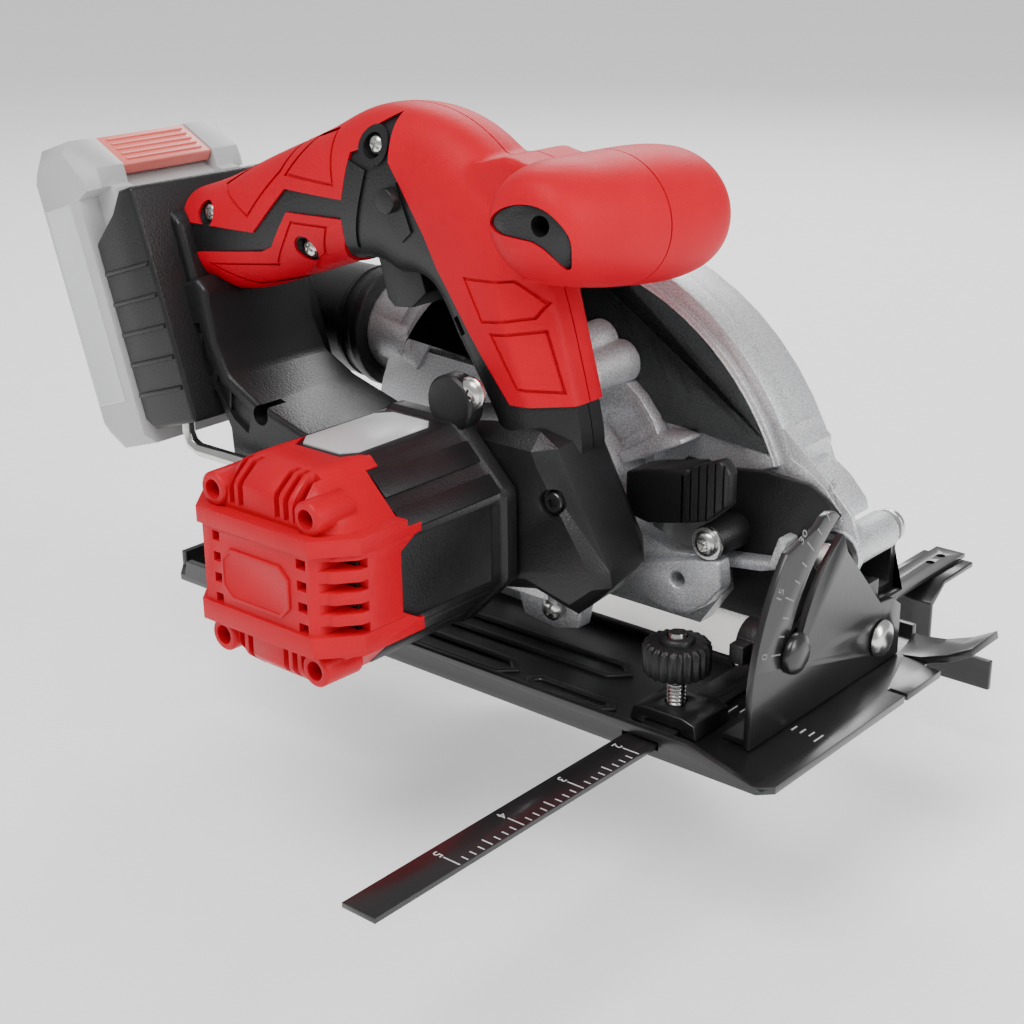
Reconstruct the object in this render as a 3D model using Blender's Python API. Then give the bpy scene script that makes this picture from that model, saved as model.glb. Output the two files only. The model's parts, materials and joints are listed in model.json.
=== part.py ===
"""Cordless circular saw, 165 mm blade, as an assembly of separate solids.

Frame: +X the cutting direction, +Y towards the blade side, +Z up. The origin is the centre of the
shoe's sole. Lengths below are in millimetres and become metres when a mesh is made.
The saw stands at 0 degrees of bevel and about 50 mm of cutting depth.
"""

from math import atan2, cos, pi, radians, sin, sqrt

import bmesh
import bpy
from mathutils import Vector

MM = 0.001
GAP = 0.3  # between pieces that touch on the real saw
PLANE_AXES = {"X": (1, 2, 0), "Y": (0, 2, 1), "Z": (0, 1, 2)}

# Shoe
SHOE_REAR, SHOE_FRONT = -129.0, 128.0
SHOE_RIGHT, SHOE_LEFT = -58.5, 61.5
SHEET = 2.5
RIM_HEIGHT = 8.0
SKI_TIP, SKI_RISE = 137.0, 9.0

# Blade and its drive
BLADE_RADIUS, BLADE_Y, BLADE_HALF = 82.5, 32.5, 0.85
ARBOR_X, ARBOR_Z = -5.0, 32.0
MOTOR_X, MOTOR_Z = -8.0, 49.9
GEAR_TEETH, PINION_TEETH = 32, 8
GEAR_TIP, PINION_TIP, TOOTH = 14.9, 4.2, 1.3
GEAR_LINE = 180 / pi * atan2(MOTOR_Z - ARBOR_Z, MOTOR_X - ARBOR_X)  # from arbor to motor, in degrees

# Guards
GUARD_IN, GUARD_RIDGE, GUARD_OUT = 20.0, 29.0, 45.0
GUARD_RADIUS, GUARD_WALL = 94.5, 2.6
LOWER_IN, LOWER_OUT, LOWER_RADIUS, LOWER_WALL = 23.0, 41.3, 84.6, 1.3

# Hinges
BEVEL_X, BEVEL_Y, BEVEL_Z = 109.0, 31.0, 12.5
BEVEL_SLOT_RADIUS = 54.0
DEPTH_X, DEPTH_Z = 101.0, 42.0
DEPTH_ARC_RADIUS = 172.0

# Motor
MOTOR_HALF = 32.5
FLANGE_Y, CAP_JOINT_Y, CAP_FACE_Y = -43.5, -91.0, -121.8

# Handle, about the parting plane between its two shells
HANDLE_Y, HANDLE_HALF = -22.0, 19.0
SKIN = 1.8  # thickness of the soft red overmould

# Battery: its long axis leans back, and UP and FORWARD are along and across it
BATTERY_LEAN = radians(17.5)
BATTERY_UP = Vector((-sin(BATTERY_LEAN), 0, cos(BATTERY_LEAN)))
BATTERY_FORWARD = Vector((cos(BATTERY_LEAN), 0, sin(BATTERY_LEAN)))
BATTERY_LOW, BATTERY_TOP = 87.0, 197.0
BATTERY_BACK, BATTERY_FACE = -142.0, -104.0
BATTERY_HALF = 36.0

# Blade key, kept under the battery socket
KEY_Y, KEY_Z, KEY_LEG_X, KEY_SIZE = -50.5, 49.0, -122.0, 2.6

# Dust outlet and its port, which point backwards
PORT_Y, PORT_Z = 35.4, 79.0

# Rip fence
FENCE_REAR, FENCE_FRONT = 78.3, 89.8
FENCE_FREE, FENCE_END = -173.5, 131.5
FENCE_LOW, FENCE_HIGH = SHEET + GAP, SHEET + GAP + 1.5
CLAMP_X, CLAMP_Y = 82.5, -38.5


# Materials

def make_material(name, colour, roughness, metallic=0.0):
    material = bpy.data.materials.new(name)
    material.use_nodes = True
    shader = material.node_tree.nodes["Principled BSDF"]
    shader.inputs["Base Color"].default_value = (*colour, 1.0)
    shader.inputs["Roughness"].default_value = roughness
    shader.inputs["Metallic"].default_value = metallic
    material.diffuse_color = (*colour, 1.0)
    return material


FINISHES = {
    "black_plastic": ((0.02, 0.02, 0.022), 0.55, 0.0),
    "red_grip": ((0.78, 0.01, 0.03), 0.5, 0.0),
    "red_plastic": ((0.72, 0.01, 0.02), 0.38, 0.0),
    "cast_aluminium": ((0.55, 0.56, 0.57), 0.42, 0.9),
    "black_steel": ((0.015, 0.015, 0.017), 0.35, 0.2),
    "zinc_steel": ((0.62, 0.62, 0.6), 0.28, 1.0),
    "blade_steel": ((0.6, 0.6, 0.6), 0.25, 1.0),
    "battery_grey": ((0.5, 0.5, 0.5), 0.5, 0.0),
    "latch_red": ((0.85, 0.2, 0.17), 0.45, 0.0),
    "copper": ((0.7, 0.3, 0.15), 0.35, 1.0),
    "magnet": ((0.1, 0.1, 0.11), 0.6, 0.2),
}


# Mesh building

def add_object(name, mesh_builder, finish):
    """One object from a bmesh in millimetres, with its faces turned outwards."""
    bmesh.ops.recalc_face_normals(mesh_builder, faces=mesh_builder.faces)
    bmesh.ops.scale(mesh_builder, vec=(MM, MM, MM), verts=mesh_builder.verts)
    mesh = bpy.data.meshes.new(name)
    mesh_builder.to_mesh(mesh)
    mesh_builder.free()
    made = bpy.data.objects.new(name, mesh)
    bpy.context.scene.collection.objects.link(made)
    if finish:
        mesh.materials.append(MATERIALS[finish])
        mesh.shade_smooth()
        mesh.set_sharp_from_angle(angle=radians(30))
    return made


def lofted(name, rings, finish=None):
    """A closed solid through rings of points, each ring with the same number of points."""
    builder = bmesh.new()
    made = [[builder.verts.new(Vector(p)) for p in ring] for ring in rings]
    count = len(rings[0])
    for low, high in zip(made, made[1:]):
        for i in range(count):
            j = (i + 1) % count
            builder.faces.new((low[i], low[j], high[j], high[i]))
    builder.faces.new(made[0])
    builder.faces.new(made[-1])
    return add_object(name, builder, finish)


def placed(axis, first, second, along):
    """The point with these two coordinates across an axis and this one along it."""
    point = [0.0, 0.0, 0.0]
    a, b, c = PLANE_AXES[axis]
    point[a], point[b], point[c] = first, second, along
    return Vector(point)


def prism(name, outline, axis, low, high, finish=None):
    rings = [[placed(axis, p, q, along) for p, q in outline] for along in (low, high)]
    return lofted(name, rings, finish)


def box(name, x, y, z, finish=None):
    outline = [(x[0], y[0]), (x[1], y[0]), (x[1], y[1]), (x[0], y[1])]
    return prism(name, outline, "Z", z[0], z[1], finish)


def arc(centre, radius, start, end, steps):
    """Points round a centre, between two angles in degrees."""
    angles = [radians(start + (end - start) * i / steps) for i in range(steps + 1)]
    return [(centre[0] + radius * cos(a), centre[1] + radius * sin(a)) for a in angles]


def circle(centre, radius, steps=24):
    return arc(centre, radius, 0, 360 - 360 / steps, steps - 1)


def disc(name, axis, centre, radius, low, high, finish=None, steps=24):
    return prism(name, circle(centre, radius, steps), axis, low, high, finish)


def turned(name, axis, centre, profile, finish=None, steps=24):
    """A solid of revolution. The profile is (distance along the axis, radius), end to end."""
    rings = [
        [placed(axis, p, q, along) for p, q in circle(centre, radius, steps)]
        for along, radius in profile
    ]
    return lofted(name, rings, finish)


def boolean(target, operation, others, solver="EXACT"):
    for other in others:
        modifier = target.modifiers.new(other.name, "BOOLEAN")
        modifier.operation = operation
        modifier.solver = solver
        modifier.object = other
        other.hide_render = True
        other.display_type = "WIRE"
    return target


def cut(target, *cutters):
    return boolean(target, "DIFFERENCE", cutters)


def joined(target, *others):
    return boolean(target, "UNION", others)


def kept_within(target, *others):
    return boolean(target, "INTERSECT", others)


def ride_on_hinge(name, point, members):
    """Puts each member's origin on its joint axis, through an empty at that point."""
    pivot = bpy.data.objects.new(name, None)
    pivot.location = Vector(point) * MM
    bpy.context.scene.collection.objects.link(pivot)
    bpy.context.view_layer.update()
    for member in members:
        member.parent = pivot
        member.matrix_parent_inverse = pivot.matrix_world.inverted()


def battery_point(forward, y, up):
    """A point given across the battery, across the saw, and along the battery."""
    return BATTERY_FORWARD * forward + BATTERY_UP * up + Vector((0, y, 0))


def battery_prism(name, outline, low, high, finish=None):
    """A solid whose outline is (forward, up) and which runs across the saw from low to high."""
    rings = [[battery_point(f, y, u) for f, u in outline] for y in (low, high)]
    return lofted(name, rings, finish)


# Shoe

def build_shoe():
    outline = [
        (SHOE_REAR + 6, SHOE_RIGHT), (SHOE_FRONT - 4, SHOE_RIGHT), (SHOE_FRONT, SHOE_RIGHT + 4),
        (SHOE_FRONT, 18), (SHOE_FRONT - 6, 18), (SHOE_FRONT - 6, 20), (SHOE_FRONT, 20),
        (SHOE_FRONT, 41), (SHOE_FRONT - 6, 41), (SHOE_FRONT - 6, 43), (114, 43),
        (114, SHOE_LEFT), (SHOE_REAR + 6, SHOE_LEFT), (SHOE_REAR, SHOE_LEFT - 6),
        (SHOE_REAR, SHOE_RIGHT + 6),
    ]
    plate = prism("shoe_plate", outline, "Z", 0, SHEET, "black_steel")
    ski_low = [(112, 0), (120, 1.2), (129, SKI_RISE / 2), (SKI_TIP, SKI_RISE)]
    ski_top = [(x - 0.6, z + SHEET) for x, z in reversed(ski_low)]
    ski = prism("ski_shape", ski_low + ski_top, "Y", 43.6, SHOE_LEFT)
    rim_run = [(SHOE_REAR + 8, 1), (112, 1), (126, 1.5), (100, RIM_HEIGHT), (SHOE_REAR + 10, RIM_HEIGHT)]
    right_rim = prism("right_rim", rim_run, "Y", SHOE_RIGHT, SHOE_RIGHT + SHEET)
    left_rim = box("left_rim", (SHOE_REAR + 8, 108), (SHOE_LEFT - SHEET, SHOE_LEFT), (1, RIM_HEIGHT - 2))
    rear_rim = box(
        "rear_rim", (SHOE_REAR, SHOE_REAR + SHEET), (SHOE_RIGHT + 6, SHOE_LEFT - 6), (1, RIM_HEIGHT)
    )
    joined(plate, ski, right_rim, left_rim, rear_rim)
    window = box("blade_window", (-93, 77.2), (4, 50), (-5, 15))
    fence_slot = box(
        "fence_slot", (FENCE_REAR - 0.8, FENCE_FRONT + 0.8), (-80, 80), (SHEET, FENCE_HIGH + 0.8)
    )
    return cut(plate, window, fence_slot)


def build_bevel_quadrant():
    pivot = (BEVEL_Y, BEVEL_Z)
    outline = (
        [(43.5, SHEET + GAP), (43.5, 20), (38, 24), (30, 25)]
        + [(8, 49)]
        + arc((-4, 57), 8, 10, 140, 5)
        + arc(pivot, 73.5, 141, 173, 8)
        + [(-42.5, SHEET + GAP)]
    )
    plate = prism("bevel_quadrant", outline, "X", BEVEL_X, BEVEL_X + 2.3, "black_steel")
    foot = box("quadrant_foot", (BEVEL_X - 8, BEVEL_X + 1), (-41, 17), (SHEET + GAP, SHEET + 2.4))
    slot_outer = arc(pivot, BEVEL_SLOT_RADIUS + 3.6, 116, 169, 10)
    slot_inner = arc(pivot, BEVEL_SLOT_RADIUS - 3.6, 169, 116, 10)
    slot = prism("quadrant_slot", slot_outer + slot_inner, "X", BEVEL_X - 20, BEVEL_X + 20)
    hole = disc("quadrant_hole", "X", pivot, 4.6, BEVEL_X - 2, BEVEL_X + 10)
    return cut(joined(plate, foot), slot, hole)


def rivet(name, x_low, x_high, head):
    """A rivet along X on the bevel axis, with a domed head at each end."""
    profile = [
        (x_low - 2.6, head * 0.6), (x_low, head), (x_low + 0.01, 4.2),
        (x_high - 0.01, 4.2), (x_high, head), (x_high + 1.6, head * 0.85), (x_high + 2.6, head * 0.45),
    ]
    return turned(name, "X", (BEVEL_Y, BEVEL_Z), profile, "zinc_steel")


def build_rear_bevel_bracket():
    outline = [
        (12, SHEET + GAP), (50, SHEET + GAP), (50, 8), (42, 17), (36, 21),
        (26, 21), (20, 17), (12, 8),
    ]
    plate = prism("rear_bevel_bracket", outline, "X", -104.5, -102, "black_steel")
    foot = box("rear_foot", (-116, -103), (13, 49), (SHEET + GAP, SHEET + 2.6))
    hole = disc("rear_hole", "X", (BEVEL_Y, BEVEL_Z), 4.6, -110, -98)
    return cut(joined(plate, foot), hole)


def build_fence_bridge():
    outline = [
        (72, SHEET + GAP), (FENCE_REAR - 0.5, SHEET + GAP), (FENCE_REAR - 0.5, FENCE_HIGH + 0.5),
        (FENCE_FRONT + 0.5, FENCE_HIGH + 0.5), (FENCE_FRONT + 0.5, SHEET + GAP), (96, SHEET + GAP),
        (95, 7.4), (91, 8.6), (77, 8.6), (73, 7.4),
    ]
    bridge = prism("fence_bridge", outline, "Y", CLAMP_Y - 9, CLAMP_Y + 9, "black_steel")
    hole = disc("bridge_hole", "Z", (CLAMP_X, CLAMP_Y), 3.3, 0, 20)
    return cut(bridge, hole)


# Tilting frame

def build_front_hinge_bracket():
    plate_outline = [
        (-27, 14), (-27, 31), (50, 31), (50, 24), (41, 13), (38, 7), (31, 3.9), (24, 5.5), (8, 9),
    ]
    plate = prism("front_hinge_bracket", plate_outline, "X", BEVEL_X - 3.4, BEVEL_X - 1, "black_steel")
    ear_outline = [(92, 22), (108, 22)] + arc((DEPTH_X, DEPTH_Z), 8, 0, 180, 8)
    right_ear = prism("right_ear", ear_outline, "Y", 15.5, 18)
    left_ear = prism("left_ear", ear_outline, "Y", 47.3, 50)
    shelf = box("bracket_shelf", (93, 107), (16, 50), (22, 24.5))
    pin_hole = disc("ear_hole", "Y", (DEPTH_X, DEPTH_Z), 3.3, 0, 60)
    rivet_hole = disc("bracket_rivet_hole", "X", (BEVEL_Y, BEVEL_Z), 4.6, 100, 115)
    bolt_hole = disc("bracket_bolt_hole", "X", bevel_bolt_point(), 3.3, 100, 115)
    return cut(joined(plate, right_ear, left_ear, shelf), pin_hole, rivet_hole, bolt_hole)


def bevel_bolt_point():
    angle = radians(165)
    return BEVEL_Y + BEVEL_SLOT_RADIUS * cos(angle), BEVEL_Z + BEVEL_SLOT_RADIUS * sin(angle)


def build_bevel_bolt():
    face = BEVEL_X + 2.3 + GAP
    profile = [
        (95, 3.0), (face, 3.0), (face + 0.01, 6.6), (face + 2, 6.2), (face + 3.4, 3.6),
    ]
    return turned("bevel_lock_bolt", "X", bevel_bolt_point(), profile, "black_steel")


def build_bevel_knob():
    """A wing knob on the bolt's inner end, behind the quadrant."""
    centre = bevel_bolt_point()
    wing = [(centre[0] - 12, centre[1] - 3), (centre[0] + 12, centre[1] - 3),
            (centre[0] + 12, centre[1] + 3), (centre[0] - 12, centre[1] + 3)]
    knob = disc("bevel_lock_knob", "X", centre, 7.5, 96, 104.5, "black_plastic")
    return cut(joined(knob, prism("knob_wing", wing, "X", 97, 102)),
               disc("bevel_knob_bore", "X", centre, 3.2, 90, 110))


def build_depth_arc():
    """The slotted arc beside the guard, which the depth lock bolt slides along."""
    centre = (DEPTH_X, DEPTH_Z)
    outer = arc(centre, DEPTH_ARC_RADIUS + 7, 144, 186, 15)
    inner = arc(centre, DEPTH_ARC_RADIUS - 7, 186, 144, 15)
    plate = prism("depth_arc", outer + inner, "Y", 46.9, 49.2, "zinc_steel")
    slot = prism(
        "arc_slot",
        arc(centre, DEPTH_ARC_RADIUS + 3.4, 147.6, 177, 12)
        + arc(centre, DEPTH_ARC_RADIUS - 3.4, 177, 147.6, 12),
        "Y", 40, 55,
    )
    foot_outline = [(49.2, 30), (49.2, 24), (41, 13), (38, 7), (31, 3.9), (24, 6), (22, 12.5), (26, 20), (38, 30)]
    foot = prism("arc_foot", foot_outline, "X", -101.7, -99.3)
    link = box("arc_link", (-101, -72), (46.9, 49.2), (22, 30))
    hole = disc("arc_foot_hole", "X", (BEVEL_Y, BEVEL_Z), 4.6, -105, -95)
    return cut(joined(plate, link, foot), slot, hole)


def build_depth_pin():
    profile = [(13.2, 5.5), (15.2, 5.5), (15.21, 3.0), (50.3, 3.0), (50.31, 5.5), (52.4, 5.5)]
    return turned("depth_pivot_pin", "Y", (DEPTH_X, DEPTH_Z), profile, "zinc_steel")


# Guards

def build_upper_guard():
    """The cast guard: a motor-side wall, a crowned rim, the front arm with its pivot boss, the dust outlet."""
    centre = (ARBOR_X, ARBOR_Z)
    outside = [(GUARD_IN, GUARD_RADIUS), (GUARD_RIDGE, GUARD_RADIUS + 2), (GUARD_OUT, GUARD_RADIUS - 0.5)]
    inside = [
        (GUARD_IN + GUARD_WALL, GUARD_RADIUS - GUARD_WALL),
        (GUARD_RIDGE, GUARD_RADIUS - 1), (GUARD_OUT + 5, GUARD_RADIUS - 4),
    ]
    guard = turned("upper_guard", "Y", centre, outside, "cast_aluminium", steps=56)
    hollow = turned("guard_hollow", "Y", centre, inside, steps=56)
    low_side = prism(
        "guard_low_side",
        [(-130, 30), (-60, 34), (26, 46), (44, 62), (70, 60), (98, 52), (130, 40), (130, -80), (-130, -80)],
        "Y", 0, 60,
    )
    arm = prism(
        "guard_arm",
        [(66, 66), (84, 56), (90, 46), (93, 36), (102, 34.5), (108.5, 44), (105, 55), (94, 66), (80, 78)],
        "Y", GUARD_IN, 38,
    )
    boss = disc("front_boss", "Y", (DEPTH_X, DEPTH_Z), 8, 18.6, 46.6)
    boss_bore = disc("boss_bore", "Y", (DEPTH_X, DEPTH_Z), 3.3, 0, 70)
    ear_room = box("ear_room", (60, 130), (0, 18.4), (20, 80))
    shaft_hole = disc("guard_shaft_hole", "Y", centre, 12, 10, 30)
    outlet = disc("dust_outlet", "X", (PORT_Y, PORT_Z), 17, -104, -78)
    outlet_bore = disc("outlet_bore", "X", (PORT_Y, PORT_Z), 14, -110, -60)
    lug = prism("depth_lug", [(-96, 50), (-64, 50), (-64, 66), (-72, 74), (-90, 74)], "Y", 42, GUARD_OUT)
    lug_hole = disc("lug_hole", "Y", depth_bolt_point(), 3.3, 30, 60)
    cut(guard, low_side)
    joined(guard, arm, outlet)
    cut(guard, hollow)
    joined(guard, lug, boss)
    return cut(guard, boss_bore, shaft_hole, outlet_bore, lug_hole, ear_room)


def depth_bolt_point():
    angle = radians(174.2)
    return DEPTH_X + DEPTH_ARC_RADIUS * cos(angle), DEPTH_Z + DEPTH_ARC_RADIUS * sin(angle)


def build_depth_bolt():
    profile = [(42.2, 3.0), (60, 3.0)]
    return turned("depth_lock_bolt", "Y", depth_bolt_point(), profile, "zinc_steel")


def build_depth_lever():
    centre = depth_bolt_point()
    hub = disc("depth_lock_lever", "Y", centre, 8, 49.7, 57, "black_plastic")
    handle = prism(
        "lever_arm",
        [(centre[0] + 4, centre[1] - 6), (centre[0] + 30, centre[1] - 14),
         (centre[0] + 33, centre[1] - 9), (centre[0] + 5, centre[1] + 6)],
        "Y", 51, 56,
    )
    bore = disc("lever_bore", "Y", centre, 3.3, 40, 70)
    return cut(joined(hub, handle), bore)


def build_lower_guard():
    """A drum round the blade's lower half: two walls and a rim, open above, with a tab to swing it by."""
    centre = (ARBOR_X, ARBOR_Z)
    drum = turned(
        "lower_guard", "Y", centre, [(LOWER_IN, LOWER_RADIUS - 1), (LOWER_IN + 1.5, LOWER_RADIUS),
                                     (LOWER_OUT - 1.5, LOWER_RADIUS), (LOWER_OUT, LOWER_RADIUS - 1)],
        "cast_aluminium", steps=56,
    )
    space = turned(
        "drum_space", "Y", centre,
        [(LOWER_IN + LOWER_WALL, LOWER_RADIUS - LOWER_WALL), (LOWER_OUT - LOWER_WALL, LOWER_RADIUS - LOWER_WALL)],
        steps=56,
    )
    upper_half = prism(
        "upper_half", [(ARBOR_X, ARBOR_Z)] + arc(centre, 130, 16, 170, 6), "Y", 0, 60
    )
    outer_opening = disc("outer_opening", "Y", centre, 34, 35, 60, steps=32)
    inner_bore = disc("inner_bore", "Y", centre, 15.5, 15, 30, steps=32)
    hub = disc("lower_hub", "Y", centre, 22, LOWER_IN, LOWER_IN + LOWER_WALL)
    tab = prism("lift_tab", [(-43, 33), (-59, 35), (-59, 43), (-44, 40)], "Y", LOWER_OUT - 1, 49.5)
    cut(drum, space, upper_half)
    joined(drum, hub, tab)
    return cut(drum, inner_bore, outer_opening)


# Blade and drive

def toothed(name, centre, root, tip, teeth, low, high, finish, phase=0.0, half_tip=0.14):
    """A disc with teeth round it, one of them pointing at the phase, an angle in degrees."""
    outline = []
    step = 360 / teeth
    for i in range(teeth):
        middle = phase + step * i
        outline += arc(centre, tip, middle - step * half_tip, middle + step * half_tip, 1)
        outline += arc(centre, root, middle + step * (half_tip + 0.13), middle + step * (0.87 - half_tip), 1)
    return prism(name, outline, "Y", low, high, finish)


def build_blade():
    centre = (ARBOR_X, ARBOR_Z)
    outline = []
    for i in range(24):
        start = radians(15 * i)
        for offset, radius in ((0, BLADE_RADIUS), (0.035, BLADE_RADIUS - 1.5), (0.05, BLADE_RADIUS - 8),
                               (0.12, BLADE_RADIUS - 8), (0.17, BLADE_RADIUS - 2.5)):
            angle = -(start + offset)
            outline.append((centre[0] + radius * cos(angle), centre[1] + radius * sin(angle)))
    blade = prism("saw_blade", outline, "Y", BLADE_Y - BLADE_HALF, BLADE_Y + BLADE_HALF, "blade_steel")
    return cut(blade, disc("blade_bore", "Y", centre, 8.2, 20, 50))


def build_arbor_pieces():
    centre = (ARBOR_X, ARBOR_Z)
    low, high = BLADE_Y - BLADE_HALF, BLADE_Y + BLADE_HALF
    shaft = turned("arbor_shaft", "Y", centre, [(-6, 5), (27, 5), (27.01, 7.9), (high + 2, 7.9)], "zinc_steel")
    cut(shaft, disc("shaft_thread", "Y", centre, 3.4, 20, 50, steps=16))
    inner = turned("inner_flange", "Y", centre, [(27, 12), (28, 19), (low - GAP, 19)], "zinc_steel")
    cut(inner, disc("inner_flange_bore", "Y", centre, 8.2, 20, 50))
    outer = turned("outer_flange", "Y", centre, [(high + GAP, 19), (high + 2.4, 19), (high + 4, 14)], "zinc_steel")
    cut(outer, disc("outer_flange_bore", "Y", centre, 8.2, 20, 36))
    head = high + 4 + GAP
    bolt = turned("blade_bolt", "Y", centre, [(head - 14, 3.0), (head, 3.0), (head + 0.01, 6.8), (head + 2.8, 6.8)],
                  "zinc_steel", steps=12)
    cut(outer, disc("outer_bolt_hole", "Y", centre, 3.5, 30, 60))
    between_teeth = GEAR_LINE + 180 / GEAR_TEETH
    gear = toothed(
        "drive_gear", centre, GEAR_TIP - TOOTH, GEAR_TIP, GEAR_TEETH, 2, 10, "zinc_steel", phase=between_teeth
    )
    cut(gear, disc("gear_bore", "Y", centre, 5.3, -5, 20))
    return [shaft, inner, outer, bolt, gear]


def ring(name, centre, inner, outer, low, high, finish, steps=24):
    made = disc(name, "Y", centre, outer, low, high, finish, steps)
    return cut(made, disc(name + "_bore", "Y", centre, inner, low - 5, high + 5, steps=steps))


def build_bearings():
    arbor, motor = (ARBOR_X, ARBOR_Z), (MOTOR_X, MOTOR_Z)
    return [
        ring("arbor_bearing_outer", arbor, 5.3, 13, 12.6, 19.4, "zinc_steel"),
        ring("arbor_bearing_inner", arbor, 5.3, 9, -5.6, -0.4, "zinc_steel"),
        ring("rotor_bearing_front", motor, 2.8, 8, -30, -25, "zinc_steel"),
        ring("rotor_bearing_rear", motor, 2.8, 8, -112, -107, "zinc_steel"),
    ]


def build_rotor():
    centre = (MOTOR_X, MOTOR_Z)
    shaft = disc("motor_shaft", "Y", centre, 2.5, -111, 0.5, "zinc_steel", steps=16)
    pinion = toothed(
        "pinion_teeth", centre, PINION_TIP - TOOTH, PINION_TIP, PINION_TEETH, 0, 10, None, phase=GEAR_LINE + 180
    )
    joined(shaft, pinion)
    armature = toothed("armature", centre, 14, 17, 12, -86, -54, "copper", half_tip=0.28)
    cut(armature, disc("armature_bore", "Y", centre, 2.8, -100, -40, steps=16))
    commutator = ring("commutator", centre, 2.8, 8.5, -102, -90, "copper")
    fan = disc("cooling_fan", "Y", centre, 23, -50, -48.5, "black_plastic", steps=28)
    for i in range(10):
        angle = radians(36 * i)
        root, tip = 9, 22
        side = 0.9
        outline = [
            (centre[0] + r * cos(angle) + s * sin(angle), centre[1] + r * sin(angle) - s * cos(angle))
            for r, s in ((root, side), (tip, side), (tip, -side), (root, -side))
        ]
        joined(fan, prism(f"fan_vane_{i}", outline, "Y", -49, -44.8))
    cut(fan, disc("fan_bore", "Y", centre, 2.8, -60, -40, steps=16))
    return [shaft, armature, commutator, fan]


def build_motor_field():
    centre = (MOTOR_X, MOTOR_Z)
    can = ring("motor_can", centre, 22.8, 25, -90, -52, "zinc_steel", steps=32)
    magnets = []
    for name, start in (("magnet_upper", 20), ("magnet_lower", 200)):
        outline = arc(centre, 22.4, start, start + 140, 10) + arc(centre, 18.2, start + 140, start, 10)
        magnets.append(prism(name, outline, "Y", -88, -54, "magnet"))
    return [can, *magnets]


# Gearbox and motor casings

def build_gear_housing():
    outline = [
        (-40, 44), (-37, 60), (-26, 73), (-8, 77), (10, 73), (25, 60), (31, 44), (31, 26),
        (22, 12), (2, 8), (-18, 9), (-34, 20),
    ]
    housing = prism("gear_housing", outline, "Y", -36, GUARD_IN - GAP, "cast_aluminium")
    arbor, motor = (ARBOR_X, ARBOR_Z), (MOTOR_X, MOTOR_Z)
    gear_room = disc("gear_room", "Y", arbor, 17, -6.5, 12.3, steps=28)
    below_cover = box("below_cover", (-60, 60), (-50, -10), (-10, 26))
    pinion_room = disc("pinion_room", "Y", motor, 20, -40, 11, steps=28)
    seat = disc("bearing_seat", "Y", arbor, 13.3, 12, 30, steps=28)
    foot = prism("housing_foot", [(20, 12), (60, 12), (68, 24), (66, 36), (48, 34), (28, 40)], "Y", 6, 13)
    foot_hole = disc("foot_hole", "Y", (55, 27), 3.6, 0, 20, steps=16)
    return cut(joined(housing, foot), gear_room, pinion_room, seat, foot_hole, below_cover)


def build_gearbox_cover():
    """The dark faceted cover between the front leg of the handle and the motor."""
    def outline(inset, narrow):
        return [
            (-30 + inset, 74 - inset), (12, 82 - inset), (31 - narrow / 3, 82 - inset),
            (38 - inset - narrow / 2, 78 - inset), (59 - inset - narrow, 43), (60 - inset - narrow, 38),
            (46 - narrow / 2, 26 + inset), (28, 30 + inset), (-10, 22 + inset),
            (-33 + inset, 34),
        ]
    rings = [
        [Vector((x, y, z)) for x, z in outline(inset, narrow)]
        for y, inset, narrow in ((-43.2, 5, 1), (-38, 0, 2), (-14, 0, 8), (-6, 5, 9))
    ]
    cover = lofted("gearbox_cover", rings, "black_plastic")
    room = prism(
        "cover_room",
        [(-41, 44), (-38, 61), (-27, 74), (-8, 78), (11, 74), (26, 61), (32, 44), (32, 25),
         (23, 11), (2, 7), (-18, 8), (-35, 19)],
        "Y", -36.6, 10,
    )
    throat = disc("cover_throat", "Y", (MOTOR_X, MOTOR_Z), 20, -60, -30, steps=28)
    return cut(cover, room, throat)


def motor_outline(half, y, corner=0.36):
    """An octagon round the motor's axis."""
    c = half * corner
    corners = [(half, -half + c * 1.6), (half, half - c * 1.6), (half - c * 1.6, half), (-half + c * 1.6, half),
               (-half, half - c * 1.6), (-half, -half + c * 1.6), (-half + c * 1.6, -half), (half - c * 1.6, -half)]
    return [Vector((MOTOR_X + x, y, MOTOR_Z + z)) for x, z in corners]


def build_motor_housing():
    rings = [motor_outline(MOTOR_HALF + 1.5, FLANGE_Y), motor_outline(MOTOR_HALF, CAP_JOINT_Y + GAP)]
    housing = lofted("motor_housing", rings, "black_plastic")
    upper_boss = disc("upper_boss", "Y", (7, 86), 9.5, -52, FLANGE_Y)
    bore = disc("housing_bore", "Y", (MOTOR_X, MOTOR_Z), 27, -100, -40, steps=32)
    screw_bore = disc("upper_screw_bore", "Y", (7, 89.5), 2.6, -60, -40, steps=16)
    return cut(joined(housing, upper_boss), bore, screw_bore)


def build_motor_end_cap():
    rings = [
        motor_outline(MOTOR_HALF, CAP_JOINT_Y),
        motor_outline(MOTOR_HALF - 0.4, -115),
        motor_outline(MOTOR_HALF - 3, CAP_FACE_Y),
    ]
    cap = lofted("motor_end_cap", rings, "red_plastic")
    cavity = disc("cap_cavity", "Y", (MOTOR_X, MOTOR_Z), 26.5, -105.5, -80, steps=32)
    seat = disc("cap_seat", "Y", (MOTOR_X, MOTOR_Z), 8.4, -112.4, -80, steps=24)
    vents = [
        box(f"cap_vent_{i}", (MOTOR_X + 12, MOTOR_X + 50), (-118, -108), (MOTOR_Z - 17 + 10 * i, MOTOR_Z - 12 + 10 * i))
        for i in range(4)
    ]
    return cut(cap, cavity, seat, *vents)


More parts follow.
